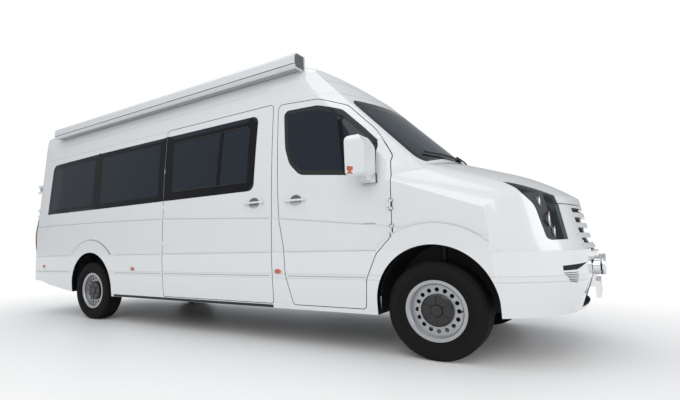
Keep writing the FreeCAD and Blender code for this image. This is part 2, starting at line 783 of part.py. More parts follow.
def dashboard():
    profile = [(-520, 1080, 40), (-560, 1330, 60), (-300, 1400, 80), (-20, 1380), (-20, 1080),
               (-200, 980), (-400, 980, 60)]
    body = slab(profile, "xz", -880, 880)
    column = Part.makeCylinder(35, 330, Vector(-430, 440, 1200), Vector(-0.85, 0, 0.53))
    rim_centre = Vector(-430 - 0.85 * 330, 440, 1200 + 0.53 * 330)
    section = [Vector(195 + 15 * math.cos(a), 0, 15 * math.sin(a))
               for a in [math.pi * k / 3 for k in range(7)]]
    wheel_rim = Part.Face(Part.makePolygon(section)).revolve(Vector(0, 0, 0), Vector(0, 0, 1), 360)
    wheel_rim.rotate(Vector(0, 0, 0), Vector(0, 1, 0), -58)
    wheel_rim.translate(rim_centre)
    spoke = box(-12, 12, -190, 190, -16, 16)
    spoke.rotate(Vector(0, 0, 0), Vector(0, 1, 0), -58)
    spoke.translate(rim_centre)
    hub = Part.makeCylinder(70, 40, rim_centre - Vector(-0.85, 0, 0.53) * 20,
                            Vector(-0.85, 0, 0.53))
    return body, column.fuse([wheel_rim, spoke, hub])


def furniture():
    """The fitted load space: rear bed on lockers, a kitchen run and a wardrobe."""
    bed = box(-5700, -4100, -860, 860, floor_top, 1090)
    mattress = cushion(-5690, -4110, -850, 850, 1085, 1230, 40, "yz")
    kitchen = box(-3900, -2300, 420, 880, floor_top, 1340)
    top = box(-3920, -2280, 400, 885, 1335, 1375)
    wardrobe = box(-4080, -3940, 300, 860, floor_top, 2200)
    cupboards = box(-5400, -2300, 560, 900, 2230, 2500)
    return [bed.fuse(mattress), kitchen.fuse(top), wardrobe, cupboards]


def hinge(x, y, z, radius, pin_radius, leaf, body_leaf, half=20.0):
    """A hinge on a vertical pin: the moving barrel with its leaf, and the fixed barrels, pin and leaf.

    Each leaf is an (x0, x1, y0, y1) plan rectangle that reaches from the barrel into its panel."""
    def barrel(low, high):
        return Part.makeCylinder(radius, high - low, Vector(x, y, low), Vector(0, 0, 1))

    moving = barrel(z - half, z + half).fuse(box(*leaf, z - half, z + half))
    bore = Part.makeCylinder(pin_radius + 0.05, 4 * half, Vector(x, y, z - 2 * half))
    moving = moving.cut(bore)
    fixed = [Part.makeCylinder(pin_radius, 4 * half - 8, Vector(x, y, z - 2 * half + 4))]
    for low, high in ((z - 2 * half, z - half - 0.4), (z + half + 0.4, z + 2 * half)):
        fixed += [barrel(low, high), box(*body_leaf, low, high)]
    return moving, joined(fixed)


def mirror(outer):
    """The right door mirror: a rounded housing, its arm and its foot on the door."""
    side = [(-548, 1372, 30), (-392, 1372, 45), (-380, 1600, 90), (-440, 1700, 60),
            (-552, 1700, 40)]
    front = [(-1213, 1372, 40), (-1015, 1372, 40), (-1015, 1700, 60), (-1205, 1700, 70)]
    housing = slab(side, "xz", -1230, -1000).common(slab(front, "yz", -600, -350))
    arm = box(-500, -420, -1100, -900, 1345, 1392)
    foot = box(-520, -395, -1000, -900, 1330, 1405)
    return joined([housing, arm.fuse(foot).cut(outer)])


# Assembly

def build():
    outer = outer_volume()
    inner = inner_volume(door_thickness)
    beside_doors = box(-1400, -281, -1000, -885, 200, 1500)
    beside_doors = [beside_doors, mirrored(beside_doors)]

    def fitted_inside(piece):
        return piece.common(inner).cut(beside_doors)

    skin = envelope(0).cut(envelope(glass_thickness))
    underside = slab([(-6500, 0), (-6500, 478), (-5905, 470), (-5544, rear_bumper_bottom),
                      (-5315, 401), (-4760, 330), (-4700, sill_bottom), (350, sill_bottom),
                      (410, front_bumper_bottom - 3), (850, front_bumper_bottom + 9),
                      (1500, front_bumper_bottom + 22), (1500, 0)], "xz", -1300, 1300)
    shell = outer.cut([inner, underside] + wheel_voids())
    nodes = {}

    # Front doors
    def door_maker(outline, growth):
        return side_prism(outline, growth, door_skew)

    door = shell.common(door_maker(front_door_outline, 0))
    door, panes = glazed(door, skin, [(front_window_outline, door_maker)])
    hole = door_maker(front_door_outline, door_gap)
    shell = shell.cut([hole, mirrored(hole)])
    fixed_hinges = []
    for z in (955, 1150):
        moving, fixed = hinge(front_hinge_x, -front_hinge_y, z, 6, 3,
                              (front_hinge_x - 30, front_hinge_x, -front_hinge_y, -960),
                              (front_hinge_x, front_hinge_x + 18, -front_hinge_y, -960))
        slot = box(front_hinge_x - 14, front_hinge_x + 8.5, -1010, -937, z - 46, z + 46)
        door = door.cut(slot).fuse(moving)
        slot = box(front_hinge_x - 8, front_hinge_x + 14, -1010, -937, z - 26, z + 26)
        shell = shell.cut([slot, mirrored(slot)])
        fixed_hinges += [fixed, mirrored(fixed)]
    door = door.fuse(mirror(outer))
    nodes["door_front_right"] = largest(door)
    nodes["door_front_right_glass"] = panes[0]
    nodes["door_front_left"] = mirrored(nodes["door_front_right"])
    nodes["door_front_left_glass"] = mirrored(panes[0])

    # Rear doors
    rear_prism = end_prism(rear_door_outline, rear_face - 50, rear_frame_seam)
    rear_right = shell.common(mirrored(rear_prism))
    bevel = slab([(rear_face - 60, 0), (rear_face - 60, -3), (rear_face + 60, -10),
                  (rear_frame_seam, -20), (rear_frame_seam, 0)], "xy", 300, 2500)
    rear_right = rear_right.cut(bevel)

    def rear_maker(outline, growth):
        return mirrored(end_prism(outline, rear_face - 50, rear_frame_seam, growth))

    rear_right, panes = glazed(rear_right, skin, [(rear_window_pane, rear_maker)])
    rear_fixed = []
    for z in (720, 1440, 1800):
        lean = max(0.0, z - lean_start) * (tail_lean + 0.05)
        leaf_end = rear_face + 80 + lean
        moving, fixed = hinge(rear_hinge_x, -rear_hinge_y, z, 10, 5,
                              (rear_hinge_x - 10, leaf_end - 15, -rear_hinge_y, -775),
                              (rear_hinge_x - 10, min(leaf_end, rear_frame_seam - 2), -865,
                               -rear_hinge_y), 30)
        rear_right = rear_right.fuse(moving.cut(
            box(rear_hinge_x + 10, rear_face + 200, -rear_hinge_y - 50, -797, z - 50, z + 50)))
        rear_fixed += [fixed, mirrored(fixed)]
    nodes["door_rear_right"] = largest(rear_right)
    nodes["door_rear_right_glass"] = panes[0]
    nodes["door_rear_left"] = mirrored(nodes["door_rear_right"])
    nodes["door_rear_left_glass"] = mirrored(panes[0])
    opening = [(-821, 569, 46), (821, 569, 46), (806, 2266, 96), (-806, 2266, 96)]
    shell = shell.cut(end_prism(opening, rear_face - 50, rear_frame_seam))

    # Bonnet
    nodes["bonnet"] = largest(shell.common(bonnet_prism(0)))
    shell = shell.cut(bonnet_prism(door_gap))

    # Lamps and grilles
    lamp_prism = side_prism(headlamp_side, 0, 0, -1100, -400).common(
        mirrored(end_prism(headlamp_front, 300, 1100)))
    lamp = largest(shell.common(lamp_prism))
    nodes["headlamps"] = both_sides(lamp)
    shell = shell.cut([lamp_prism, mirrored(lamp_prism)])
    grille_prism = end_prism(grille_outline, 700, 1100)
    shell = shell.cut(grille_prism)
    slats = [box(600, 1100, -600, 600, z, z + 36) for z in (782, 856, 930, 1004)]
    backing = envelope(40).cut(envelope(50)).common(end_prism(grille_outline, 600, 1100))
    slat_zone = outer.cut(envelope(41)).common(grille_prism)
    frame_prism = grille_prism.cut(end_prism(grille_outline, 600, 1200, -16))
    bars = slat_zone.common(Part.makeCompound(slats))
    rim = slat_zone.common(frame_prism)
    nodes["grille"] = joined([backing, bars, rim])
    lower_prism = end_prism(lower_grille_outline, 700, 1100)
    lower_back = envelope(45).cut(envelope(55)).common(end_prism(lower_grille_outline, 500, 1100))
    lower_rim = outer.cut(envelope(46)).common(
        lower_prism.cut(end_prism(lower_grille_outline, 600, 1200, -10)))
    nodes["lower_grille"] = joined([lower_back, lower_rim])
    shell = shell.cut(lower_prism)

    # Windscreen
    screen_prism = end_prism(screen_outline, -900, 200)
    nodes["windscreen"] = largest(skin.common(screen_prism))
    shell = shell.cut(skin.common(end_prism(screen_outline, -900, 200, 1.5)))
    shell = shell.cut(end_prism(screen_outline, -900, 200, -window_overlap))

    # Side walls and sliding door
    def plain_maker(outline, growth):
        return side_prism(outline, growth)

    right_room = box(rear_frame_seam, cab_seam, -1200, 0, sill_bottom, roof_seam)
    wall = shell.common(right_room)
    left_wall = mirrored(wall)
    slider = wall.common(side_prism(slider_outline))
    wall = wall.cut(side_prism(slider_outline, door_gap))
    for z in (900, 1300, 1700):
        pad = box(slider_rear - door_gap, slider_rear + 5, -1000, -700, z, z + 40)
        slider = slider.fuse(pad.common(outer).cut(inner))
    slider, slider_panes = glazed(slider, skin, [(slider_window_outline, plain_maker)])
    wall, wall_panes = glazed(wall, skin, [(middle_window_outline, plain_maker),
                                           (rear_window_outline, plain_maker)])
    left_wall = mirrored(left_wall)
    left_wall, left_panes = glazed(left_wall, skin, [(far_window_outline, plain_maker),
                                                     (middle_window_outline, plain_maker),
                                                     (rear_window_outline, plain_maker)])
    nodes["sliding_door"] = largest(slider)
    nodes["side_wall_right"] = solids_of(wall)
    nodes["side_wall_left"] = mirrored(solids_of(left_wall))
    nodes["side_windows"] = Part.makeCompound(
        slider_panes + wall_panes + [mirrored(pane) for pane in left_panes])

    # Roof, cab frame, tail frame, wings and bumpers
    roof_room = box(-6500, cab_seam, -1200, 1200, roof_seam, 2900)
    roof_room = roof_room.fuse(box(cab_seam, -300, -1200, 1200, cab_roof_seam, 2900))
    nodes["roof"] = largest(shell.common(roof_room))
    tail_room = box(-6500, rear_frame_seam, -1200, 1200, rear_bumper_top, roof_seam)
    tail = shell.common(tail_room)
    tail_lamp_room = box(-6500, rear_frame_seam - 18, -1200, -848, 880, 1360)
    tail_lamp = largest(tail.common(tail_lamp_room))
    nodes["tail_lamps"] = both_sides(tail_lamp)
    tail = tail.cut([tail_lamp_room, mirrored(tail_lamp_room)])
    nodes["tail_frame"] = solids_of(tail.fuse(rear_fixed))
    cab_room = box(cab_seam, wing_rear, -1200, 1200, sill_bottom, cab_roof_seam)
    cab_room = cab_room.fuse(box(wing_rear, scuttle_front, -1200, 1200, wing_top, cab_roof_seam))
    nodes["cab_frame"] = solids_of(shell.common(cab_room))
    wing_room = box(wing_rear, 1200, -1200, 1200, bumper_seam, wing_top)
    wing_room = wing_room.fuse(box(scuttle_front, 1200, -1200, 1200, wing_top, 1600))
    wing_room = wing_room.fuse(
        box(wing_rear, front_bumper_rear, -1200, 1200, sill_bottom, bumper_seam))
    nodes["wings"] = solids_of(shell.common(wing_room).fuse(fixed_hinges))
    nodes["front_bumper"] = solids_of(shell.common(
        box(front_bumper_rear, 1200, -1200, 1200, sill_bottom, bumper_seam)))
    rear_room = box(-6500, rear_frame_seam, -1200, 1200, 390, rear_bumper_top)
    rear_bumper = outer.common(rear_room).cut([inner, underside])
    beam = box(rear_face + 20, rear_face + 80, -800, 800, rear_bumper_bottom,
               rear_bumper_top - 5)
    step = box(rear_axle_x - rear_overhang, rear_face + 70, -780, 780, rear_bumper_bottom + 10,
               rear_bumper_top - 35)
    nodes["rear_bumper"] = rear_bumper.fuse([beam, step])

    # Floor and bulkhead
    floor = box(-5840, -300, -1000, 1000, floor_top - floor_thickness, floor_top)
    scuttle = box(-300, -260, -1000, 1000, floor_top - floor_thickness, 1330)
    tray = box(-300, 40, -1000, 1000, 1300, 1330)
    liners = fitted_inside(wheel_liners())
    deck = fitted_inside(floor.fuse([scuttle, tray]))
    arches = [arch_void(0, arch_radius + 2 + liner_thickness, front_liner_inner - 6, 1300),
            arch_void(rear_axle_x, arch_radius + 2 + liner_thickness, rear_liner_inner - 6, 1300)]
    arches += [mirrored(void) for void in arches]
    deck = deck.cut(arches)
    nodes["floor"] = largest(deck)
    nodes["wheel_liners"] = both_sides(solids_of(liners))

    # Running gear
    nodes["chassis"] = chassis()
    nodes["engine"] = engine()
    pipe, tank = exhaust_and_tank()
    nodes["exhaust"] = pipe
    nodes["fuel_tank"] = tank
    nodes["front_suspension"] = front_suspension()
    nodes["rear_axle"] = rear_axle()
    right_knuckle = knuckle()
    nodes["knuckle_right"] = right_knuckle
    nodes["knuckle_left"] = mirrored(right_knuckle)
    wheel_shape, tyre_shape = wheel(), tyre()
    for name, x, side in (("front_right", 0, -1), ("front_left", 0, 1),
                          ("rear_right", rear_axle_x, -1), ("rear_left", rear_axle_x, 1)):
        nodes["wheel_" + name] = placed_wheel(wheel_shape, x, side)
        nodes["tyre_" + name] = placed_wheel(tyre_shape, x, side)

    # Fittings
    nodes["cab_seats"] = Part.makeCompound([cab_seat(-440), cab_seat(440)])
    board, steering = dashboard()
    nodes["dashboard"] = largest(fitted_inside(board).cut(deck))
    nodes["steering_wheel"] = steering.cut(board)
    fitted = [fitted_inside(piece).cut(arches) for piece in furniture()]
    nodes["furniture"] = Part.makeCompound([largest(piece) for piece in fitted])
    nodes["front_lamps"] = largest(front_lamps().cut([nodes["lower_grille"],
                                                      nodes["front_bumper"]]))
    awning_outline = [(-770, 2474), (-935, 2474, 10), (-955, 2500, 20), (-955, 2590, 30),
                      (-915, 2620, 20), (-770, 2620)]
    awning = slab(awning_outline, "yz", -5289, -1147).cut(outer)
    nodes["awning"] = largest(awning)
    return nodes


os.makedirs("parts", exist_ok=True)
for name, shape in build().items():
    shape.translate(Vector(to_middle, 0, 0))
    shape.exportStep("parts/" + name + ".step")
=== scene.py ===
import bpy
import bmesh
import json
import math
from mathutils import Matrix, Vector
from mathutils.bvhtree import BVHTree


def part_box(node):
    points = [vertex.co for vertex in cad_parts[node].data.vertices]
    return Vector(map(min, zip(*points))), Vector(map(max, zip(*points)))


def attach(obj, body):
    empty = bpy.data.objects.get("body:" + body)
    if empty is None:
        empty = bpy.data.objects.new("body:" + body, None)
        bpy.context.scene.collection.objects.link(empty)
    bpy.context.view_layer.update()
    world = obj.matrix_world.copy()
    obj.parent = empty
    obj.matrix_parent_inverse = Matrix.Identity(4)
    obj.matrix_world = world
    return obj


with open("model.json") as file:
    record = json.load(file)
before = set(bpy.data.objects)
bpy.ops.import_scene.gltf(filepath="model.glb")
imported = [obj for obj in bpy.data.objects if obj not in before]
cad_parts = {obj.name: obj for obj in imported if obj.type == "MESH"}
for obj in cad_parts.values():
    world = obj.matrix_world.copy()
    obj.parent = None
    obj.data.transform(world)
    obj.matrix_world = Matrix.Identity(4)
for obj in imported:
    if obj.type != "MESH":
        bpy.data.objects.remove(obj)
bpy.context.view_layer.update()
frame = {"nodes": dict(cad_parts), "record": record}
nodes = frame["nodes"]
axleX = 2.4675  # row x of the front axle, as in the CAD
wheelbase = 4.325
wheelHeight = 0.356  # of the wheel centres
sides = {"right": -1, "left": 1}  # and the sign of y there
print("frame loaded")


# Shader helpers

def calc(tree, operation, first, second=0.0):  # one math node, sockets or numbers in
    node = tree.nodes.new("ShaderNodeMath")
    node.operation = operation
    for socket, value in zip(node.inputs, (first, second)):
        if isinstance(value, (int, float)):
            socket.default_value = value
        else:
            tree.links.new(value, socket)
    return node.outputs[0]


def smoothRange(tree, value, low, high, start=0.0, end=1.0):
    node = tree.nodes.new("ShaderNodeMapRange")
    node.interpolation_type = "SMOOTHSTEP"
    ranges = (("From Min", low), ("From Max", high), ("To Min", start), ("To Max", end))
    for key, number in ranges:
        node.inputs[key].default_value = number
    tree.links.new(value, node.inputs["Value"])
    return node.outputs["Result"]


def waveOf(tree, value, rate):  # sine of a place or an angle
    return calc(tree, "SINE", calc(tree, "MULTIPLY", value, rate))


def placeAndNormal(tree):
    coords = tree.nodes.new("ShaderNodeTexCoord")
    place = tree.nodes.new("ShaderNodeSeparateXYZ")
    facing = tree.nodes.new("ShaderNodeSeparateXYZ")
    tree.links.new(coords.outputs["Object"], place.inputs[0])
    tree.links.new(coords.outputs["Normal"], facing.inputs[0])
    return coords.outputs["Object"], place.outputs, facing.outputs


def newMaterial(name, color, rough=0.5, metal=0.0, coat=0.0, **extra):
    material = bpy.data.materials.new(name)
    material.use_nodes = True
    shader = material.node_tree.nodes["Principled BSDF"]
    shader.inputs["Base Color"].default_value = (*color, 1)
    shader.inputs["Roughness"].default_value = rough
    shader.inputs["Metallic"].default_value = metal
    shader.inputs["Coat Weight"].default_value = coat
    shader.inputs["Coat Roughness"].default_value = 0.03
    for key, value in extra.items():
        shader.inputs[key.replace("_", " ")].default_value = value
    return material


def linkShader(tree, value, key):
    tree.links.new(value, tree.nodes["Principled BSDF"].inputs[key])


def mixColor(tree, share, first, second):
    mix = tree.nodes.new("ShaderNodeMix")
    mix.data_type = "RGBA"
    mix.inputs["A"].default_value = (*first, 1)
    mix.inputs["B"].default_value = (*second, 1)
    tree.links.new(share, mix.inputs["Factor"])
    return mix.outputs["Result"]


def setBump(tree, height, distance=0.001, strength=1.0):
    bump = tree.nodes.new("ShaderNodeBump")
    bump.inputs["Strength"].default_value = strength
    bump.inputs["Distance"].default_value = distance
    tree.links.new(height, bump.inputs["Height"])
    linkShader(tree, bump.outputs["Normal"], "Normal")


def noiseOf(tree, place, scale):
    noise = tree.nodes.new("ShaderNodeTexNoise")
    noise.inputs["Scale"].default_value = scale
    noise.inputs["Detail"].default_value = 4.0
    tree.links.new(place, noise.inputs["Vector"])
    return noise.outputs["Fac"]


def addGrain(material, scale, strength, distance=0.001):
    tree = material.node_tree
    place, _, _ = placeAndNormal(tree)
    setBump(tree, noiseOf(tree, place, scale), distance, strength)
    return material


def varyRoughness(material, scale, low, high):
    tree = material.node_tree
    place, _, _ = placeAndNormal(tree)
    spread = smoothRange(tree, noiseOf(tree, place, scale), 0.0, 1.0, low, high)
    linkShader(tree, spread, "Roughness")


# Body paint

paintLook = {
    "white": (0.76, 0.775, 0.79), "rough": 0.27, "shutGapShade": (0.006, 0.006, 0.007),
    "gapReach": (0.86, 1.0),  # distance from the middle at which a flank has its shut gaps and their painted shade
    "gapAhead": 0.45,  # no gaps further ahead of the front axle than this
    "gutter": (2.178, 2.2), "eave": (2.335, 2.365),  # heights of the pressed lines
    "sills": ((0.566, 0.576), (0.604, 0.614)), "pressed": 0.008,
}


def bodyPaint(name, axis, limit, creases):  # white lacquer, with painted shade on the walls of the shut gaps
    look = paintLook
    material = newMaterial(name, look["white"], look["rough"], 0.0, 1.0)
    tree = material.node_tree
    _, place, facing = placeAndNormal(tree)
    # painted shade: faces turned away from the panel's facing count as shut-gap walls; on the
    # flanks only near the outside and behind the front
    edge = calc(tree, "LESS_THAN", calc(tree, "ABSOLUTE", facing[axis]), limit)
    if axis == "Y":
        outward = calc(tree, "ABSOLUTE", place["Y"])
        near, far = look["gapReach"]
        out = calc(tree, "MULTIPLY", calc(tree, "GREATER_THAN", outward, near),
                   calc(tree, "LESS_THAN", outward, far))
        back = calc(tree, "LESS_THAN", place["X"], axleX + look["gapAhead"])
        edge = calc(tree, "MULTIPLY", edge, calc(tree, "MULTIPLY", out, back))
    # the painted shade goes into the base colour, and those faces lose their coat
    linkShader(tree, mixColor(tree, edge, look["white"], look["shutGapShade"]), "Base Color")
    linkShader(tree, calc(tree, "SUBTRACT", 1.0, edge), "Coat Weight")
    if creases:
        height = calc(tree, "ADD", smoothRange(tree, place["Z"], *look["gutter"], 1.0, 0.0),
                      smoothRange(tree, place["Z"], *look["eave"], 0.8, 0.0))
        for low, high in look["sills"]:
            height = calc(tree, "ADD", height, smoothRange(tree, place["Z"], low, high, 0.0, 0.5))
        setBump(tree, height, look["pressed"])
    return material


# the side and rear-door paints carry painted shade in their shut gaps; plainPaint has none
sidePaint = bodyPaint("sidePaint", "Y", 0.3, True)
endPaint = bodyPaint("endPaint", "X", 0.25, False)
plainPaint = newMaterial("plainPaint", paintLook["white"], paintLook["rough"], 0.0, 1.0)

# Plain finishes: colour, roughness, metal and coat, then the grain's scale, strength and depth

awningPaint = newMaterial("awningPaint", (0.7, 0.72, 0.74), 0.38, 0.0, 0.3)
whitePlastic = newMaterial("whitePlastic", (0.7, 0.72, 0.74), 0.3, 0.0, 0.8)
blackPlastic = addGrain(newMaterial("blackPlastic", (0.012, 0.012, 0.013), 0.55), 900, 0.25)
greyPlastic = addGrain(newMaterial("greyPlastic", (0.12, 0.12, 0.125), 0.5), 700, 0.2)
glossBlack = newMaterial("glossBlack", (0.003, 0.003, 0.004), 0.1, Specular_IOR_Level=0.3)
# near-black painted shade, laid into gaps, joints and openings
gapShade = newMaterial("gapShade", (0.004, 0.004, 0.004), 0.8)
sealRubber = newMaterial("sealRubber", (0.01, 0.01, 0.01), 0.6)
castMetal = addGrain(newMaterial("castMetal", (0.06, 0.06, 0.062), 0.6, 0.7), 150, 0.5, 0.003)
blackSteel = addGrain(newMaterial("blackSteel", (0.02, 0.02, 0.021), 0.5, 0.2), 60, 0.2, 0.002)
exhaustSteel = newMaterial("exhaustSteel", (0.25, 0.23, 0.21), 0.5, 0.9)
varyRoughness(exhaustSteel, 9, 0.35, 0.6)
chrome = newMaterial("chrome", (0.75, 0.76, 0.78), 0.06, 1.0)
satinMetal = newMaterial("satinMetal", (0.5, 0.5, 0.52), 0.3, 1.0)
mirrorFace = newMaterial("mirrorFace", (0.85, 0.87, 0.9), 0.02, 1.0)
amberLens = newMaterial("amberLens", (0.5, 0.12, 0.05), 0.15, 0.0, 0.8)
creaseShade = newMaterial("creaseShade", (0.36, 0.37, 0.38), 0.4)
palePlate = newMaterial("palePlate", (0.72, 0.72, 0.7), 0.4, 0.0, 0.3)
floorLining = addGrain(newMaterial("floorLining", (0.05, 0.05, 0.055), 0.7), 300, 0.3)
seatFabric = addGrain(newMaterial("seatFabric", (0.03, 0.032, 0.036), 0.9), 700, 0.6, 0.002)
paleFabric = addGrain(newMaterial("paleFabric", (0.42, 0.39, 0.34), 0.9), 600, 0.6, 0.002)
dashPlastic = addGrain(newMaterial("dashPlastic", (0.02, 0.02, 0.022), 0.6), 800, 0.4)


# Glass and lamps

def glassMaterial(name, color, share, shine=0.4):  # tinted coat over clear passage
    material = bpy.data.materials.new(name)
    material.use_nodes = True
    tree = material.node_tree
    shader = tree.nodes["Principled BSDF"]
    shader.inputs["Base Color"].default_value = (*color, 1)
    shader.inputs["Roughness"].default_value = 0.02
    shader.inputs["Specular IOR Level"].default_value = shine
    clear = tree.nodes.new("ShaderNodeBsdfTransparent")
    clear.inputs["Color"].default_value = (0.6, 0.66, 0.68, 1)
    mix = tree.nodes.new("ShaderNodeMixShader")
    mix.inputs["Fac"].default_value = share
    out = tree.nodes["Material Output"]
    tree.links.new(clear.outputs["BSDF"], mix.inputs[1])
    tree.links.new(shader.outputs["BSDF"], mix.inputs[2])
    tree.links.new(mix.outputs["Shader"], out.inputs["Surface"])
    return material


tintedGlass = glassMaterial("tintedGlass", (0.012, 0.019, 0.028), 0.9)
# the windscreen's colour is paler than the side glass's: its tint with a painted reflection in it
screenGlass = glassMaterial("screenGlass", (0.04, 0.055, 0.07), 0.62)
headlampLens = glassMaterial("headlampLens", (0.03, 0.034, 0.04), 0.4, 0.6)
spotLens = glassMaterial("spotLens", (0.5, 0.52, 0.55), 0.35)

tailLook = {"red": (0.09, 0.002, 0.004), "pale": (0.24, 0.05, 0.04), "paleFrom": 1.03,
            "paleTo": 1.13, "ribRate": 420.0}


def redLensMaterial():  # ribbed red lamp with a paler chamber in the middle
    look = tailLook
    material = newMaterial("redLens", look["red"], 0.1, 0.0, 1.0)
    tree = material.node_tree
    _, place, _ = placeAndNormal(tree)
    setBump(tree, waveOf(tree, place["Z"], look["ribRate"]), 0.0012, 0.6)
    middle = calc(tree, "MULTIPLY", calc(tree, "GREATER_THAN", place["Z"], look["paleFrom"]),
                  calc(tree, "LESS_THAN", place["Z"], look["paleTo"]))
    linkShader(tree, mixColor(tree, middle, look["red"], look["pale"]), "Base Color")
    return material


def ribbedLens():  # clear lens with upright flutes
    material = newMaterial("spotGlass", (0.55, 0.57, 0.6), 0.08, 0.4, 1.0)
    tree = material.node_tree
    _, place, _ = placeAndNormal(tree)
    setBump(tree, waveOf(tree, place["Y"], 900.0), 0.001, 0.7)
    return material


redLens = redLensMaterial()
spotGlass = ribbedLens()


# Wheels, tyres, wood and quilt

wheelLook = {"silver": (0.42, 0.43, 0.45), "cap": (0.005, 0.005, 0.006), "capRadius": 0.1195}
tyreLook = {
    "rubber": (0.007, 0.007, 0.007), "treadFrom": 0.3535, "blocksFrom": 0.332, "ringsTo": 0.285,
    "grooveRate": 150.0, "cutRate": 64.0, "cutSlant": 60.0, "blockRate": 90.0, "ringRate": 420.0,
    "grain": 260, "depth": 0.004,
}


def radiusFrom(tree, place, centreX):
    across = calc(tree, "SUBTRACT", place["X"], centreX)
    rise = calc(tree, "SUBTRACT", place["Z"], wheelHeight)
    square = calc(tree, "ADD", calc(tree, "MULTIPLY", across, across),
                  calc(tree, "MULTIPLY", rise, rise))
    return calc(tree, "SQRT", square), calc(tree, "ARCTAN2", rise, across)


def wheelMaterial(name, centreX):  # silver steel with a black centre cap
    look = wheelLook
    material = newMaterial(name, look["silver"], 0.35, 0.7, 0.3)
    tree = material.node_tree
    spot, place, _ = placeAndNormal(tree)
    radius, _ = radiusFrom(tree, place, centreX)
    cap = calc(tree, "LESS_THAN", radius, look["capRadius"])
    linkShader(tree, mixColor(tree, cap, look["silver"], look["cap"]), "Base Color")
    bare = calc(tree, "SUBTRACT", 1.0, cap)
    linkShader(tree, calc(tree, "MULTIPLY", bare, 0.75), "Metallic")
    linkShader(tree, smoothRange(tree, noiseOf(tree, spot, 14), 0.3, 0.7, 0.3, 0.42), "Roughness")
    return material


def tyreMaterial(name, centreX):  # rings on the wall, blocks on the shoulder, grooves in the tread
    look = tyreLook
    material = newMaterial(name, look["rubber"], 0.8, Specular_IOR_Level=0.2)
    tree = material.node_tree
    spot, place, _ = placeAndNormal(tree)
    radius, angle = radiusFrom(tree, place, centreX)
    tread = calc(tree, "GREATER_THAN", radius, look["treadFrom"])
    grooves = smoothRange(tree, waveOf(tree, place["Y"], look["grooveRate"]), -0.9, -0.4)
    bars = calc(tree, "ADD", calc(tree, "MULTIPLY", angle, look["cutRate"]),
                calc(tree, "MULTIPLY", place["Y"], look["cutSlant"]))
    cuts = smoothRange(tree, calc(tree, "SINE", bars), -0.95, -0.6)
    worked = calc(tree, "MULTIPLY", tread, calc(tree, "MULTIPLY", grooves, cuts))
    rings = smoothRange(tree, waveOf(tree, radius, look["ringRate"]), 0.5, 1.0)
    bead = calc(tree, "MULTIPLY", rings, calc(tree, "LESS_THAN", radius, look["ringsTo"]))
    shoulder = smoothRange(tree, waveOf(tree, angle, look["blockRate"]), 0.2, 0.6)
    block = calc(tree, "MULTIPLY", shoulder,
                 calc(tree, "GREATER_THAN", radius, look["blocksFrom"]))
    height = calc(tree, "ADD", calc(tree, "ADD", worked, bead), calc(tree, "MULTIPLY", block, 0.6))
    grain = calc(tree, "MULTIPLY", noiseOf(tree, spot, look["grain"]), 0.1)
    setBump(tree, calc(tree, "ADD", height, grain), look["depth"])
    return material


def woodMaterial():  # long grain along the van
    material = newMaterial("woodPanel", (0.32, 0.2, 0.11), 0.45)
    tree = material.node_tree
    spot, _, _ = placeAndNormal(tree)
    stretch = tree.nodes.new("ShaderNodeMapping")
    stretch.inputs["Scale"].default_value = (0.6, 12, 12)
    tree.links.new(spot, stretch.inputs["Vector"])
    share = noiseOf(tree, stretch.outputs["Vector"], 6)
    linkShader(tree, mixColor(tree, share, (0.24, 0.14, 0.07), (0.42, 0.28, 0.16)), "Base Color")
    return material


def quiltMaterial():  # stitched squares in a woven cloth
    material = newMaterial("quiltFabric", (0.5, 0.49, 0.47), 0.9)
    tree = material.node_tree
    spot, place, _ = placeAndNormal(tree)
    waves = [calc(tree, "ABSOLUTE", waveOf(tree, place[axis], 26.0)) for axis in ("X", "Y")]
    tuft = calc(tree, "POWER", calc(tree, "MULTIPLY", *waves), 0.4)
    weave = calc(tree, "MULTIPLY", noiseOf(tree, spot, 500), 0.15)
    setBump(tree, calc(tree, "ADD", tuft, weave), 0.006)
    return material


def shadedBowl():  # grip hollow, dark above and pale below
    material = newMaterial("shadedBowl", (0.4, 0.41, 0.42), 0.35, 0.0, 0.6)
    tree = material.node_tree
    _, place, _ = placeAndNormal(tree)
    share = smoothRange(tree, place["Z"], 1.205, 1.265)
    linkShader(tree, mixColor(tree, share, (0.6, 0.61, 0.62), (0.12, 0.12, 0.125)), "Base Color")
    return material


rearAxleX = axleX - wheelbase
frontWheel, rearWheel = wheelMaterial("frontWheel", axleX), wheelMaterial("rearWheel", rearAxleX)
frontTyre, rearTyre = tyreMaterial("frontTyre", axleX), tyreMaterial("rearTyre", rearAxleX)
woodPanel = woodMaterial()
quiltFabric = quiltMaterial()
bowlShade = shadedBowl()

slotMaterials = {
    "white_paint": plainPaint, "awning_white": awningPaint, "tinted_glass": tintedGlass,
    "clear_glass": screenGlass, "tyre": frontTyre, "wheel_silver": frontWheel,
    "cast_metal": castMetal, "white_plastic": whitePlastic, "black_plastic": blackPlastic,
    "chrome_lamp": chrome, "lamp_lens": headlampLens, "red_lens": redLens,
    "floor_lining": floorLining, "black_steel": blackSteel, "exhaust_steel": exhaustSteel,
    "seat_fabric": seatFabric, "dash_plastic": dashPlastic, "cabinet_wood": woodPanel,
}
ownMaterials = {  # nodes that differ from their slot
    "side_wall_left": sidePaint, "side_wall_right": sidePaint, "cab_frame": sidePaint,
    "roof": sidePaint, "sliding_door": sidePaint, "door_front_left": sidePaint,
    "door_front_right": sidePaint, "wings": sidePaint, "front_bumper": sidePaint,
    "door_rear_left": endPaint, "door_rear_right": endPaint,
    "wheel_rear_left": rearWheel, "wheel_rear_right": rearWheel,
    "tyre_rear_left": rearTyre, "tyre_rear_right": rearTyre,
}
slotOf = {part["node"]: part["material_slot"] for part in frame["record"]["subparts"]}
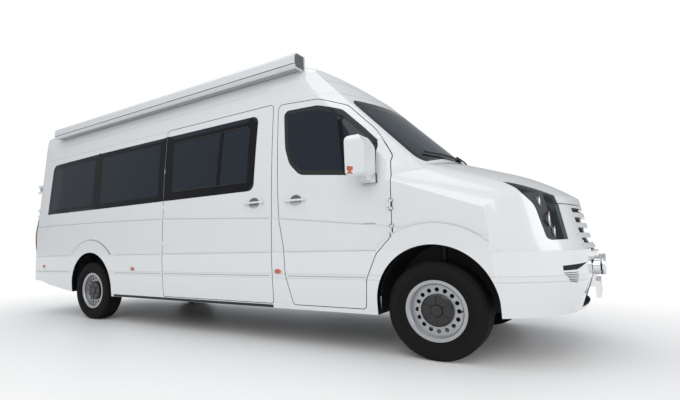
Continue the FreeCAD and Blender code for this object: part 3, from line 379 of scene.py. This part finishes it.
for name, node in nodes.items():
    material = ownMaterials.get(name, slotMaterials[slotOf[name]])
    if not node.material_slots:
        node.data.materials.append(material)
    for holder in node.material_slots:
        holder.material = material
print("CAD materials set")


# Thin pieces laid on the CAD surfaces; outlines are in mm from the front axle, lifts in metres

doorSkew = 0.12  # the front doors' glass is struck at this slant
doorReach = 2.007  # from the start of a slanting ray to the door


def mm(x, y, z):
    return Vector((axleX + x / 1000, y / 1000, z / 1000))


def treeOf(*names):
    points, faces = [], []
    for name in names:
        start = len(points)
        mesh = nodes[name].data
        points += [vertex.co.copy() for vertex in mesh.vertices]
        faces += [[start + corner for corner in face.vertices] for face in mesh.polygons]
    return BVHTree.FromPolygons(points, faces)


def strike(tree, plane, a, b):  # first hit of a ray through that point of the view plane
    a, b = a / 1000, b / 1000
    skewed = a + axleX - doorReach * doorSkew
    start, way = {
        "right": ((a + axleX, -3, b), (0, 1, 0)),
        "left": ((a + axleX, 3, b), (0, -1, 0)),
        "rightDoor": ((skewed, -3, b), (doorSkew, 1, 0)),
        "leftDoor": ((skewed, 3, b), (doorSkew, -1, 0)),
        "front": ((8, a, b), (-1, 0, 0)),
        "rear": ((-8, a, b), (1, 0, 0)),
        "below": ((a + axleX, b, -1), (0, 0, 1)),
    }[plane]
    way = Vector(way).normalized()
    spot, normal, _, _ = tree.ray_cast(Vector(start), way)
    if spot is None:
        return None
    return spot, -normal if normal.dot(way) > 0 else normal


def newPiece(name, body, mesh, material, smooth=True):
    mesh.materials.append(material)
    for face in mesh.polygons:
        face.use_smooth = smooth
    piece = bpy.data.objects.new(name, mesh)
    bpy.context.collection.objects.link(piece)
    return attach(piece, body)


def addMesh(name, body, points, faces, material, smooth=True):
    mesh = bpy.data.meshes.new(name)
    mesh.from_pydata(points, [], faces)
    mesh.validate()
    return newPiece(name, body, mesh, material, smooth)


def resample(path, step, closed):
    ends = list(zip(path, path[1:] + path[:1])) if closed else list(zip(path, path[1:]))
    samples = []
    for (a0, b0), (a1, b1) in ends:
        count = max(1, round(math.hypot(a1 - a0, b1 - b0) / step))
        samples += [(a0 + (a1 - a0) * k / count, b0 + (b1 - b0) * k / count) for k in range(count)]
    return samples if closed else samples + [path[-1]]


def strip(name, body, tree, plane, path, width, material, lift=0.0012, closed=False, step=30.0,
          deep=0.002):  # band along a path, its edges sunk into the surface
    samples = resample(path, step, closed)
    count = len(samples)
    points = []
    for k, (a, b) in enumerate(samples):
        before = samples[k - 1] if closed or k > 0 else samples[k]
        after = samples[(k + 1) % count] if closed or k < count - 1 else samples[k]
        along = Vector((after[0] - before[0], after[1] - before[1])).normalized()
        across = Vector((-along.y, along.x)) * width / 2
        hits = [strike(tree, plane, a + way * across.x, b + way * across.y) for way in (-1, 1)]
        hits = [hit or strike(tree, plane, a, b) or hits[0] or hits[1] for hit in hits]
        if hits[0] is None:
            raise RuntimeError(name + " misses its surface at " + str((a, b)))
        for (spot, normal), order in zip(hits, ((-deep, lift), (lift, -deep))):
            points += [spot + normal * height for height in order]
    faces = []
    for k in range(count if closed else count - 1):
        near, far = 4 * k, 4 * ((k + 1) % count)
        for row in range(3):
            faces.append((near + row, near + row + 1, far + row + 1, far + row))
    return addMesh(name, body, points, faces, material, False)


def patch(name, body, tree, plane, outline, material, lift=0.001, rings=4, deep=0.002,
          dome=0.0):  # area within an outline, its rim sunk into the surface
    rim = resample(outline, 25.0, True)
    centre = (sum(a for a, _ in rim) / len(rim), sum(b for _, b in rim) / len(rim))
    count = len(rim)
    spot, normal = strike(tree, plane, *centre)
    points = [spot + normal * (lift + dome)]
    for ring in range(1, rings + 1):
        share = ring / rings
        for a, b in rim:
            hit = strike(tree, plane, centre[0] + (a - centre[0]) * share,
                         centre[1] + (b - centre[1]) * share)
            spot, normal = hit or (points[-1], normal)
            height = lift + dome * (1 - share ** 2)
            points.append(spot + normal * height if hit else spot.copy())
    for k in range(count):
        hit = strike(tree, plane, *rim[k])
        points.append(hit[0] - hit[1] * deep if hit else points[1 + (rings - 1) * count + k].copy())
    faces = [(0, 1 + k, 1 + (k + 1) % count) for k in range(count)]
    for ring in range(rings):
        low, high = 1 + ring * count, 1 + (ring + 1) * count
        for k in range(count):
            other = (k + 1) % count
            faces.append((low + k, high + k, high + other, low + other))
    return addMesh(name, body, points, faces, material, dome > 0)


def ellipse(a, b, halfA, halfB, count=24):
    angles = [math.radians(360.0 * k / count) for k in range(count)]
    return [(a + halfA * math.cos(angle), b + halfB * math.sin(angle)) for angle in angles]


def ringFaces(rows, count):  # walls between rows of points round an axis, and both ends
    faces = [tuple(range(count))[::-1], tuple(range((rows - 1) * count, rows * count))]
    for row in range(rows - 1):
        low, high = row * count, (row + 1) * count
        for k in range(count):
            other = (k + 1) % count
            faces.append((low + k, low + other, high + other, high + k))
    return faces


def barBetween(name, body, points, radius, material, count=10, flat=1.0):  # bar through points
    rings = []
    for k, spot in enumerate(points):
        before, after = points[max(k - 1, 0)], points[min(k + 1, len(points) - 1)]
        along = (after - before).normalized()
        side = along.cross(Vector((0, 0, 1)))
        if side.length <= 0.1:  # upright bar
            side = along.cross(Vector((0, 1, 0)))
        side.normalize()
        up = side.cross(along)
        for turn in range(count):
            angle = 2 * math.pi * turn / count
            rings.append(spot + (side * math.cos(angle) + up * math.sin(angle) * flat) * radius)
    faces = [face[::-1] for face in ringFaces(len(points), count)]
    return addMesh(name, body, rings, faces, material)


def roundedBox(name, body, low, high, edge, material, segments=3):
    mesh = bpy.data.meshes.new(name)
    shape = bmesh.new()
    bmesh.ops.create_cube(shape, size=1)
    span = high - low
    for vertex in shape.verts:
        vertex.co = low + Vector([(c + 0.5) * s for c, s in zip(vertex.co, span)])
    bmesh.ops.bevel(shape, geom=shape.edges[:], offset=edge, segments=segments, affect="EDGES",
                    profile=0.5)
    shape.to_mesh(mesh)
    shape.free()
    return newPiece(name, body, mesh, material)


def lathe(name, body, centre, way, profile, material, count=40):  # (distance, radius) along way
    way = Vector(way).normalized()
    side = way.orthogonal().normalized()
    up = way.cross(side)
    points = []
    for reach, radius in profile:
        for k in range(count):
            angle = 2 * math.pi * k / count
            points.append(centre + way * reach
                          + (side * math.cos(angle) + up * math.sin(angle)) * radius)
    return addMesh(name, body, points, ringFaces(len(profile), count), material)


# Window borders and dividers

windowTrim = {
    "borders": {  # middle line of each side pane's printed border, and its width
        "slidePane": ([(-2846, 1431), (-2846, 2075), (-1716, 2075), (-1666, 2030),
                       (-1692, 1431)], 88),
        "middlePane": ([(-4193, 1419), (-4193, 2085), (-3002, 2087), (-3002, 1419)], 64),
        "rearPane": ([(-5418, 1424), (-5380, 2020), (-5334, 2066), (-4294, 2085),
                      (-4294, 1419)], 64),
    },
    "slider": {  # bars of the sliding pane: path, width, material
        "sliderBar": ([(-2118, 1450), (-2076, 2060)], 40, glossBlack),
        "sliderRail": ([(-2790, 1478), (-1730, 1478)], 10, blackPlastic),
        "sliderTopRail": ([(-2790, 2030), (-1730, 2030)], 10, blackPlastic),
    },
    "pillars": {  # black bands between the panes: x, top, width
        "right": {"rearPillar": (-4243.5, 2124, 42), "frontPillar": (-2954, 2125, 36),
                  "slidePillar": (-2907.5, 2125, 38)},
        "left": {"rearPillar": (-4243.5, 2124, 42), "frontPillar": (-2930.5, 2125, 84)},
    },
    "pillarFoot": 1388,
    "doorSeal": [(-1292, 2080), (-1268, 1740), (-1222, 1600), (-1120, 1500), (-445, 1422),
                 (-422, 1650), (-552, 1795), (-748, 1986), (-955, 2060)],
    "quarterBar": [(-676, 1450), (-742, 1975)],
}


def windowBorders():
    trim = windowTrim
    panes = treeOf("side_windows")
    for side in sides:
        title = side.title()
        for name, (outline, width) in trim["borders"].items():
            strip(name + "Border" + title, "van", panes, side, outline, width, glossBlack,
                  0.0008, True)
        for name, (path, width, material) in trim["slider"].items():
            strip(name + title, "van", panes, side, path, width, material, 0.004)
        band = treeOf("side_wall_" + side, "side_windows", "sliding_door")
        for name, (x, top, width) in trim["pillars"][side].items():
            path = [(x, trim["pillarFoot"]), (x, top)]
            strip(name + title, "van", band, side, path, width, glossBlack)
        glass, body = treeOf("door_front_%s_glass" % side), "front_door_" + side
        strip("frontPaneSeal" + title, body, glass, side + "Door", trim["doorSeal"], 30,
              sealRubber, 0.0015, True)
        strip("quarterBar" + title, body, glass, side + "Door", trim["quarterBar"], 38,
              glossBlack, 0.005)


# Windscreen and wipers

screenTrim = {
    "border": [(-760, 1512), (-430, 1568), (430, 1568), (760, 1512), (728, 2095), (-728, 2095)],
    "foot": [(-740, 1532), (-430, 1592), (430, 1592), (740, 1532)],
    "band": [(-700, 2062), (700, 2062)],
    "sensor": [(-70, 1975), (70, 1975), (90, 2070), (-90, 2070)],
    "wipers": {"near": ((-90, 1562), (-640, 1585)), "far": ((520, 1556), (-20, 1610))},
}


def windscreenBorder(screen):
    trim = screenTrim
    strip("screenBorder", "van", screen, "front", trim["border"], 46, glossBlack, 0.0008, True)
    strip("screenFoot", "van", screen, "front", trim["foot"], 42, glossBlack, 0.0006)
    strip("screenBand", "van", screen, "front", trim["band"], 40, glossBlack, 0.0006)
    patch("sensorPad", "van", screen, "front", trim["sensor"], glossBlack, 0.0007)


def wipers(screen):
    for name, (pivot, tip) in screenTrim["wipers"].items():
        arm = []
        for k in range(7):
            share = k / 6
            a, b = [start + (end - start) * share for start, end in zip(pivot, tip)]
            spot, normal = strike(screen, "front", a, b)
            arm.append(spot + normal * (0.018 if k else 0.012))
        blade = [spot + Vector((0.006, 0, -0.008)) for spot in arm[1:]]
        barBetween(name + "WiperArm", "van", arm[:5], 0.009, blackPlastic, 8, 0.6)
        barBetween(name + "WiperBlade", "van", blade, 0.007, sealRubber, 8)
        lathe(name + "WiperPivot", "van", arm[0] + Vector((0, 0, -0.004)), (0.7, 0, 0.7),
              [(-0.012, 0.02), (0.012, 0.02), (0.018, 0.012)], blackPlastic, 20)


windowBorders()
windscreen = treeOf("windscreen")
windscreenBorder(windscreen)
wipers(windscreen)
print("glass dressed")


# Handles, markers and mirrors

handles = {  # start, end and height of the pull bar, and the middle of its bowl
    "slide": (-1745, -1520, 1262, -1640),
    "front": (-1272, -1070, 1248, -1165),
}
markers = ((-3450, 637), (-5462, 658), (-1366, 629))
mirrors = {
    "inset": 112, "height": 1548, "halfWidth": 82, "halfHeight": 118, "squareness": 0.45,
    "lamp": [(-540, 1392), (-486, 1388), (-480, 1440), (-530, 1452)],
}


def pullHandle(name, body, tree, plane, start, end, height, bowlAt):
    patch(name + "Bowl", body, tree, plane, ellipse(bowlAt, height + 2, 62, 52), bowlShade,
          0.0012, 3)
    height += 4
    points = []
    for k in range(13):
        share = k / 12
        spot, normal = strike(tree, plane, start + (end - start) * share, height)
        bow = math.sin(math.pi * min(1, max(0, (share - 0.04) / 0.92))) ** 0.45
        points.append(spot + normal * (0.006 + 0.026 * bow))
    barBetween(name + "Bar", body, points, 0.013, plainPaint, 14, 0.75)
    for k, share in enumerate((0.03, 0.97)):
        foot = ellipse(start + (end - start) * share, height, 22, 18, 18)
        patch(name + "Foot%d" % k, body, tree, plane, foot, plainPaint, 0.004, 2, 0.001, 0.004)
    lock = ellipse(start + (end - start) * 0.97, height, 8, 8, 16)
    patch(name + "Lock", body, tree, plane, lock, satinMetal, 0.0095, 1)


def squaredRing(a, b, halfA, halfB, power, count=28):  # ellipse with fuller corners
    ring = []
    for k in range(count):
        across, rise = math.cos(2 * math.pi * k / count), math.sin(2 * math.pi * k / count)
        ring.append((a + halfA * math.copysign(abs(across) ** power, across),
                     b + halfB * math.copysign(abs(rise) ** power, rise)))
    return ring


def sideFittings():
    pullHandle("slideHandle", "van", treeOf("sliding_door"), "right", *handles["slide"])
    for side, sign in sides.items():
        title, body = side.title(), "front_door_" + side
        door = treeOf("door_front_" + side)
        pullHandle("frontHandle" + title, body, door, side, *handles["front"])
        walls = treeOf("side_wall_" + side, "sliding_door", "cab_frame", "door_front_" + side)
        for k, (a, b) in enumerate(markers):
            patch("markerFrame%d" % k + title, "van", walls, side, ellipse(a, b, 48, 32),
                  whitePlastic, 0.004, 2)
            patch("markerLens%d" % k + title, "van", walls, side, ellipse(a, b, 36, 21),
                  amberLens, 0.006, 3, 0.001, 0.004)
        low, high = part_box("door_front_" + side)
        outer = (low.y if sign < 0 else high.y) * 1000
        glass = squaredRing(outer - sign * mirrors["inset"], mirrors["height"],
                            mirrors["halfWidth"], mirrors["halfHeight"], mirrors["squareness"])
        patch("mirrorGlass" + title, body, door, "rear", glass, mirrorFace, 0.0015, 2)
        strip("mirrorRim" + title, body, door, "rear", glass, 10, blackPlastic, 0.003, True, 20)
        patch("mirrorLamp" + title, body, door, side, mirrors["lamp"], amberLens, 0.0005, 3)


# Lines along the flanks

flankTrim = {
    "waist": [(-5740, 1227), (-4300, 1215), (-2930, 1188), (-1440, 1110), (-546, 1012)],
    "crease": (799, 9), "sill": (590, 7),  # height and width of the level lines
    "tailEnd": -5740, "creaseEnd": -4850, "sillEnd": -4810,  # behind the rear arch
    "aheadOfArch": -3800,
    "flare": {"centre": (-4325, 402), "radius": 598, "width": 8, "from": 43, "turn": 94},
    "sillShade": [(-3840, 318), (-1440, 318)],
    "tailLens": [(-5850, 890), (-5738, 890), (-5738, 1330), (-5760, 1356), (-5850, 1356)],
}


def heightOn(path, x):
    for (a0, b0), (a1, b1) in zip(path, path[1:]):
        if a0 <= x <= a1:
            return b0 + (b1 - b0) * (x - a0) / (a1 - a0)
    return path[-1][1]


def fineLine(name, body, tree, side, path, width):  # laid only where the panel lies under it
    kept = [(a, b) for a, b in resample(path, 20, False)
            if all(strike(tree, side, a + shift, b) for shift in (-14, 0, 14))]
    if len(kept) > 2:
        strip(name, body, tree, side, kept, width, creaseShade, 0.0006, False, 60, 0.001)


def flankLines():  # shaded where the pressed creases catch no light
    trim = flankTrim
    waist, tailEnd = trim["waist"], trim["tailEnd"]
    for side in sides:
        title = side.title()
        wallEnd = -2940 if side == "right" else -1436
        panels = [("Rear", "van", "side_wall_" + side, tailEnd, wallEnd, trim["aheadOfArch"]),
                  ("Front", "front_door_" + side, "door_front_" + side, -1338, -420, -1338)]
        if side == "right":
            panels.append(("Slide", "van", "sliding_door", -2924, -1440, -2924))
        for name, body, node, start, end, levelFrom in panels:
            tree = treeOf(node)
            path = [(start, heightOn(waist, start))]
            path += [(a, b) for a, b in waist if start < a < end] + [(end, heightOn(waist, end))]
            fineLine("waistLine" + name + title, body, tree, side, path, 9)
            for key in ("crease", "sill"):
                z, width = trim[key]
                fineLine(key + "Line" + name + title, body, tree, side,
                         [(levelFrom, z), (end, z)], width)
        flank = treeOf("side_wall_" + side, "cab_frame", "wings", "door_front_" + side,
                       "sliding_door")
        for key in ("crease", "sill"):
            z, width = trim[key]
            fineLine(key + "LineTail" + title, "van", flank, side,
                     [(tailEnd, z), (trim[key + "End"], z)], width)
        flare = trim["flare"]
        (x, z), radius = flare["centre"], flare["radius"]
        angles = [math.radians(flare["from"] + flare["turn"] * k / 20) for k in range(21)]
        arc = [(x + radius * math.cos(angle), z + radius * math.sin(angle)) for angle in angles]
        fineLine("flareLineRear" + title, "van", flank, side, arc, flare["width"])
        strip("sillShade" + title, "van", flank, side, trim["sillShade"], 26, blackPlastic,
              0.0012, False, 60, 0.001)
        tail = treeOf("tail_lamps", "tail_frame", "side_wall_" + side)
        patch("tailLens" + title, "van", tail, side, trim["tailLens"], redLens, 0.003, 6,
              0.001, 0.012)


sideFittings()
flankLines()
print("side fittings")


# Front end

noseTrim = {
    "intake": ((-762, 674), (-760, 642), (-656, 645), (-530, 688)),
    "louvres": 6,
    "bowls": {  # lamp bowls: y, z, radius in metres, lens of the eye
        "mainBowl": (-722, 985, 0.062, spotLens), "lowBowl": (-712, 900, 0.044, spotLens),
        "turnBowl": (-752, 1110, 0.04, amberLens),
    },
    "bowlProfile": ((0, 1), (0.004, 0.97), (0.03, 0.7), (0.05, 0.25)),
    "eyeProfile": ((-0.02, 0.4), (0, 0.42), (0.008, 0.25)),
    "spots": (-300, -140, 140, 300), "spotHeight": 655,
    "spotRim": [(-0.02, 0.064), (0.004, 0.066), (0.01, 0.0625)],
    "spotLens": [(-0.002, 0.0545), (0, 0.053), (0.0004, 0.03), (0.0005, 0.01)],
    "grilleGaps": ((770, 22), (837, 36), (911, 36), (985, 36), (1055, 30)),  # height, width
    "plate": [(-255, 432), (255, 432), (255, 536), (-255, 536)],
}


def frontEnd():
    trim = noseTrim
    bumper, lamps, spots = treeOf("front_bumper"), treeOf("headlamps"), treeOf("front_lamps")
    for side, sign in sides.items():
        title = side.title()
        intake = [(-sign * y, z) for y, z in trim["intake"]]
        # painted shade fills the intake opening and draws the slots between its louvres
        patch("intake" + title, "van", bumper, "front", intake, gapShade, 0.0012, 4)
        for k in range(trim["louvres"]):
            share = k / (trim["louvres"] - 1)
            outer = (-sign * (-759 + 51 * share), 626 - 55 * share)
            inner = (-sign * (-649 + 18 * share), 627 - 68 * share)
            strip("louvre%d" % k + title, "van", bumper, "front", [outer, inner], 4.5, gapShade,
                  0.001)
        for name, (y, z, size, lens) in trim["bowls"].items():
            spot, _ = strike(lamps, "front", -sign * y, z)
            place = spot - Vector((0.012, 0, 0))
            bowl = [(reach, size * share) for reach, share in trim["bowlProfile"]]
            eye = [(reach, size * share) for reach, share in trim["eyeProfile"]]
            lathe(name + title, "van", place, (-1, 0, 0), bowl, chrome, 36)
            lathe(name + "Eye" + title, "van", place - Vector((0.012, 0, 0)), (1, 0, 0), eye,
                  lens, 28)
    for k, y in enumerate(trim["spots"]):
        spot, _ = strike(spots, "front", y, trim["spotHeight"])
        lathe("spotRim%d" % k, "van", spot - Vector((0.0102, 0, 0)), (1, 0, 0), trim["spotRim"],
              chrome)
        lathe("spotLens%d" % k, "van", spot, (1, 0, 0), trim["spotLens"], spotGlass)
    bars = treeOf("grille")
    # painted shade in the openings between the grille bars
    for k, (z, width) in enumerate(trim["grilleGaps"]):
        half = 401 + (z - 742) * 0.128  # the grille widens upwards
        strip("grilleGap%d" % k, "van", bars, "front", [(-half, z), (half, z)], width, gapShade,
              0.001, False, 60, 0.001)
    patch("blankPlate", "van", spots, "front", trim["plate"], palePlate, 0.0015, 3)


frontEnd()
print("front end")


# Rear doors and awning

tailTrim = {
    "border": ((118, 1464), (664, 1464), (634, 2062), (118, 2066)),
    "pad": [(-200, 1075), (-40, 1075), (-40, 1150), (-200, 1150)],
    "bar": [(-185, 1120), (-55, 1120)],
    "lock": (-120, 1088),
    "reflectors": (-690, 690),
}
awningTrim = {
    "ribs": (-812, -842, -872, -902), "ribEnds": (-5270, -1165),
    "joint": [(-5285, 2508), (-1152, 2508)],
    "cap": [(-800, 2484), (-925, 2484), (-945, 2508), (-945, 2584), (-910, 2609), (-800, 2609)],
}


def rearHandle(body, door):  # only the right door, which opens first, has one
    trim = tailTrim
    patch("rearHandlePad", body, door, "rear", trim["pad"], blackPlastic, 0.002, 2)
    strip("rearHandleBar", body, door, "rear", trim["bar"], 26, blackPlastic, 0.02)
    patch("rearLock", body, door, "rear", ellipse(*trim["lock"], 8, 8, 16), satinMetal, 0.003, 1)


def rearEnd():
    for side, sign in sides.items():
        glass, body = treeOf("door_rear_%s_glass" % side), "rear_door_" + side
        outline = [(sign * y, z) for y, z in tailTrim["border"]]
        strip("rearPaneBorder" + side.title(), body, glass, "rear", outline, 44, glossBlack,
              0.0008, True)
        if side == "right":
            rearHandle(body, treeOf("door_rear_right"))
    bumper = treeOf("rear_bumper")
    for k, y in enumerate(tailTrim["reflectors"]):
        patch("rearReflector%d" % k, "van", bumper, "rear",
              [(y - 55, 539), (y + 55, 539), (y + 55, 553), (y - 55, 553)], redLens, 0.002, 2)


def awningDetail():
    trim = awningTrim
    awning = treeOf("awning")
    for k, y in enumerate(trim["ribs"]):
        strip("awningRib%d" % k, "van", awning, "below", [(x, y) for x in trim["ribEnds"]], 12,
              greyPlastic, 0.0015, False, 200)
    # painted shade along the awning's joint
    strip("awningJoint", "van", awning, "right", trim["joint"], 7, gapShade, 0.0006, False, 200)
    for k, plane in enumerate(("front", "rear")):
        patch("awningCap%d" % k, "van", awning, plane, trim["cap"], greyPlastic, 0.004, 2)


rearEnd()
awningDetail()
print("rear end and awning")


# Cab and load space

padding = {  # low and high corners in mm, edge radius in metres, fill
    "seat": {"seatCushion": ((-1270, -200, 985), (-800, 200, 1045), 0.026),
             "seatBackPad": ((-1275, -190, 1050), (-1225, 190, 1520), 0.024)},
    "seatY": 440, "seatFill": 0.8,
    "mattress": ((-5697, -852, 1092), (-4103, 852, 1240), 0.035, 0.8),
    "bedPillowLeft": ((-4560, 180, 1232), (-4180, 760, 1345), 0.05, 0.6),
    "bedPillowRight": ((-4560, -760, 1232), (-4180, -180, 1345), 0.05, 0.6),
}
dash = {
    "cluster": [(310, 1345), (570, 1345), (560, 1250), (320, 1250)],
    "screen": [(-90, 1320), (90, 1320), (90, 1215), (-90, 1215)],
    "vents": (-700, -180, 180, 700), "ventHeight": 1275, "vanes": 3,
    "switchRows": 3, "switchColumns": 3, "switchHalf": (18, 12),
}
kitchen = {
    "gaps": (-3500, -3100, -2700), "pulls": (-3700, -3300, -2900, -2500),
    "boxes": {  # low and high corners in mm, edge radius in metres, material
        "sinkRim": ((-3000, 470, 1371), (-2600, 830, 1380), 0.004, satinMetal),
        "sinkBowl": ((-2975, 495, 1375), (-2625, 805, 1382), 0.003, blackPlastic),
        "hobPlate": ((-3600, 480, 1371), (-3200, 820, 1381), 0.004, glossBlack),
    },
    "tap": ((-2800, 845, 1370), (-2800, 845, 1520), (-2800, 820, 1560), (-2800, 720, 1560),
            (-2800, 700, 1535)),
}


def cabin():
    for side, sign in sides.items():
        shift = Vector((0, sign * padding["seatY"] / 1000, 0))
        for name, (low, high, edge) in padding["seat"].items():
            pad = roundedBox(name + side.title(), "van", mm(*low) + shift, mm(*high) + shift,
                             edge, seatFabric, 5)
    low, high, edge, fill = padding["mattress"]
    mattress = roundedBox("mattressCover", "van", mm(*low), mm(*high), edge, quiltFabric, 6)
    for name in ("bedPillowLeft", "bedPillowRight"):
        low, high, edge, fill = padding[name]
        pillow = roundedBox(name, "van", mm(*low), mm(*high), edge, paleFabric, 6)


def dashDetail():
    board = treeOf("dashboard")
    patch("clusterGlass", "van", board, "rear", dash["cluster"], glossBlack, 0.004, 3)
    patch("centreScreen", "van", board, "rear", dash["screen"], glossBlack, 0.004, 2)
    for k, y in enumerate(dash["vents"]):
        patch("vent%d" % k, "van", board, "rear", ellipse(y, dash["ventHeight"], 48, 34, 20),
              blackPlastic, 0.004, 2)
        for row in range(dash["vanes"]):
            z = dash["ventHeight"] - 17 + 17 * row
            strip("ventVane%d_%d" % (k, row), "van", board, "rear", [(y - 38, z), (y + 38, z)], 4,
                  greyPlastic, 0.008)
    halfA, halfB = dash["switchHalf"]
    for row in range(dash["switchRows"]):
        for column in range(dash["switchColumns"]):
            y, z = -50 + 50 * column, 1180 - 38 * row
            outline = [(y - halfA, z - halfB), (y + halfA, z - halfB),
                       (y + halfA, z + halfB), (y - halfA, z + halfB)]
            patch("switch%d_%d" % (row, column), "van", board, "rear", outline, greyPlastic,
                  0.004, 1)


def kitchenDetail():
    units = treeOf("furniture")
    # painted shade in the gaps between the unit doors
    for k, x in enumerate(kitchen["gaps"]):
        strip("unitGap%d" % k, "van", units, "right", [(x, 640), (x, 1310)], 5, gapShade, 0.001,
              False, 120)
    for k, x in enumerate(kitchen["pulls"]):
        strip("unitPull%d" % k, "van", units, "right", [(x - 60, 1285), (x + 60, 1285)], 14,
              satinMetal, 0.012)
    for name, (low, high, edge, material) in kitchen["boxes"].items():
        roundedBox(name, "van", mm(*low), mm(*high), edge, material)
    barBetween("tap", "van", [mm(*spot) for spot in kitchen["tap"]], 0.011, chrome)


cabin()
dashDetail()
kitchenDetail()
print("cab and load space")


# Wheels

wheelTrim = {"valveAt": 176, "nutCircle": 48, "nutRadius": 7, "nuts": 6}


def wheelDetail():
    trim, rise = wheelTrim, wheelHeight * 1000
    for name, x in (("front", 0), ("rear", -wheelbase * 1000)):
        for side, sign in sides.items():
            ending = name.title() + side.title()
            body = "%s_wheel_%s" % (name, side)
            rim = treeOf("wheel_%s_%s" % (name, side))
            spot, _ = strike(rim, side, x + trim["valveAt"], rise)
            stem = [spot, spot + Vector((-0.004, sign * 0.022, 0)),
                    spot + Vector((-0.006, sign * 0.034, 0))]
            barBetween("valve" + ending, body, stem, 0.0045, sealRubber)
            for k in range(trim["nuts"]):
                angle = math.radians(30 + 360 / trim["nuts"] * k)
                nut = ellipse(x + trim["nutCircle"] * math.cos(angle),
                              rise + trim["nutCircle"] * math.sin(angle),
                              trim["nutRadius"], trim["nutRadius"], 12)
                patch("capNut%d" % k + ending, body, rim, side, nut, blackPlastic, 0.004, 1)


wheelDetail()
print("wheels")


# Camera, fitted to the photo

photoCamera = {
    "spot": (1.051, -4.336, 0.855),  # from the front axle
    "yaw": 36.0, "pitch": 4.91, "roll": -1.58,
    "sensor": 36, "lens": 24.2, "shiftX": 0.0954, "shiftY": 0.0101,
}


def placeCamera():
    view = photoCamera
    yaw, pitch, roll = [math.radians(view[key]) for key in ("yaw", "pitch", "roll")]
    ahead = Vector((-math.sin(yaw) * math.cos(pitch), math.cos(yaw) * math.cos(pitch),
                    math.sin(pitch)))
    right = Vector((math.cos(yaw), math.sin(yaw), 0))
    up = right.cross(ahead)
    turnedRight = math.cos(roll) * right + math.sin(roll) * up
    turnedUp = -math.sin(roll) * right + math.cos(roll) * up
    camera = bpy.data.objects.new("camera", bpy.data.cameras.new("camera"))
    bpy.context.collection.objects.link(camera)
    camera.data.sensor_width = view["sensor"]
    camera.data.lens = view["lens"]
    camera.data.shift_x = view["shiftX"]
    camera.data.shift_y = view["shiftY"]
    turned = Matrix((turnedRight, turnedUp, -ahead)).transposed().to_4x4()
    spot = Vector(view["spot"]) + Vector((axleX, 0, 0))
    camera.matrix_world = Matrix.Translation(spot) @ turned
    bpy.context.scene.camera = camera


# Studio

studio = {
    "floorSize": 400, "floorColor": (0.92, 0.92, 0.92),
    "floorFade": (1.5, 4.3), "fadeLength": 1.5,  # the fade is longer along the van
    "skyColor": (0.93, 0.96, 1.0), "skyStrength": 0.5,
    "lampAim": (0, 0, 1),
    "lamps": {  # place, size, power, colour
        "keyLight": ((4, -9, 7), 9, 440, (1, 0.98, 0.95)),
        "topLight": ((-1, -1, 8), 8, 210, (0.95, 0.98, 1)),
        "frontLight": ((10, -1, 3), 4, 120, (1, 1, 1)),
        "backLight": ((-8, 7, 6), 10, 200, (0.95, 0.97, 1)),
    },
}


def studioFloor():  # keeps the shadow near the van and turns to plain white further off
    bpy.ops.mesh.primitive_plane_add(size=studio["floorSize"], location=(0, 0, 0))
    floor = bpy.context.object
    floor.name = "studioFloor"
    paint = newMaterial("studioFloor", studio["floorColor"], 0.45)
    tree = paint.node_tree
    _, place, _ = placeAndNormal(tree)
    along = calc(tree, "DIVIDE", place["X"], studio["fadeLength"])
    square = calc(tree, "ADD", calc(tree, "MULTIPLY", along, along),
                  calc(tree, "MULTIPLY", place["Y"], place["Y"]))
    fade = smoothRange(tree, calc(tree, "SQRT", square), *studio["floorFade"])
    path = tree.nodes.new("ShaderNodeLightPath")
    seen = calc(tree, "ADD", path.outputs["Is Camera Ray"], path.outputs["Is Glossy Ray"])
    seen = calc(tree, "ADD", seen, path.outputs["Is Transmission Ray"])
    seen = calc(tree, "MINIMUM", seen, 1.0)
    glow = tree.nodes.new("ShaderNodeEmission")
    mix = tree.nodes.new("ShaderNodeMixShader")
    tree.links.new(calc(tree, "MULTIPLY", fade, seen), mix.inputs["Fac"])
    tree.links.new(tree.nodes["Principled BSDF"].outputs["BSDF"], mix.inputs[1])
    tree.links.new(glow.outputs["Emission"], mix.inputs[2])
    tree.links.new(mix.outputs["Shader"], tree.nodes["Material Output"].inputs["Surface"])
    floor.data.materials.append(paint)


def studioWorld():  # soft light on the van, white where the background itself is seen
    world = bpy.data.worlds.new("studio")
    bpy.context.scene.world = world
    world.use_nodes = True
    tree = world.node_tree
    tree.nodes.clear()
    soft = tree.nodes.new("ShaderNodeBackground")
    soft.inputs["Color"].default_value = (*studio["skyColor"], 1)
    soft.inputs["Strength"].default_value = studio["skyStrength"]
    plain = tree.nodes.new("ShaderNodeBackground")
    plain.inputs["Color"].default_value = (1, 1, 1, 1)
    path = tree.nodes.new("ShaderNodeLightPath")
    seen = calc(tree, "ADD", path.outputs["Is Camera Ray"], path.outputs["Is Transmission Ray"])
    mix = tree.nodes.new("ShaderNodeMixShader")
    out = tree.nodes.new("ShaderNodeOutputWorld")
    tree.links.new(calc(tree, "MINIMUM", seen, 1.0), mix.inputs["Fac"])
    tree.links.new(soft.outputs["Background"], mix.inputs[1])
    tree.links.new(plain.outputs["Background"], mix.inputs[2])
    tree.links.new(mix.outputs["Shader"], out.inputs["Surface"])


def studioLamps():
    for name, (spot, size, power, color) in studio["lamps"].items():
        lamp = bpy.data.objects.new(name, bpy.data.lights.new(name, "AREA"))
        bpy.context.collection.objects.link(lamp)
        lamp.data.size = size
        lamp.data.energy = power
        lamp.data.color = color
        lamp.location = spot
        aim = Vector(studio["lampAim"]) - Vector(spot)
        lamp.rotation_euler = aim.to_track_quat("-Z", "Y").to_euler()


placeCamera()
bpy.context.scene.view_settings.view_transform = "Standard"
studioWorld()
studioFloor()
studioLamps()
print("camera and studio set")
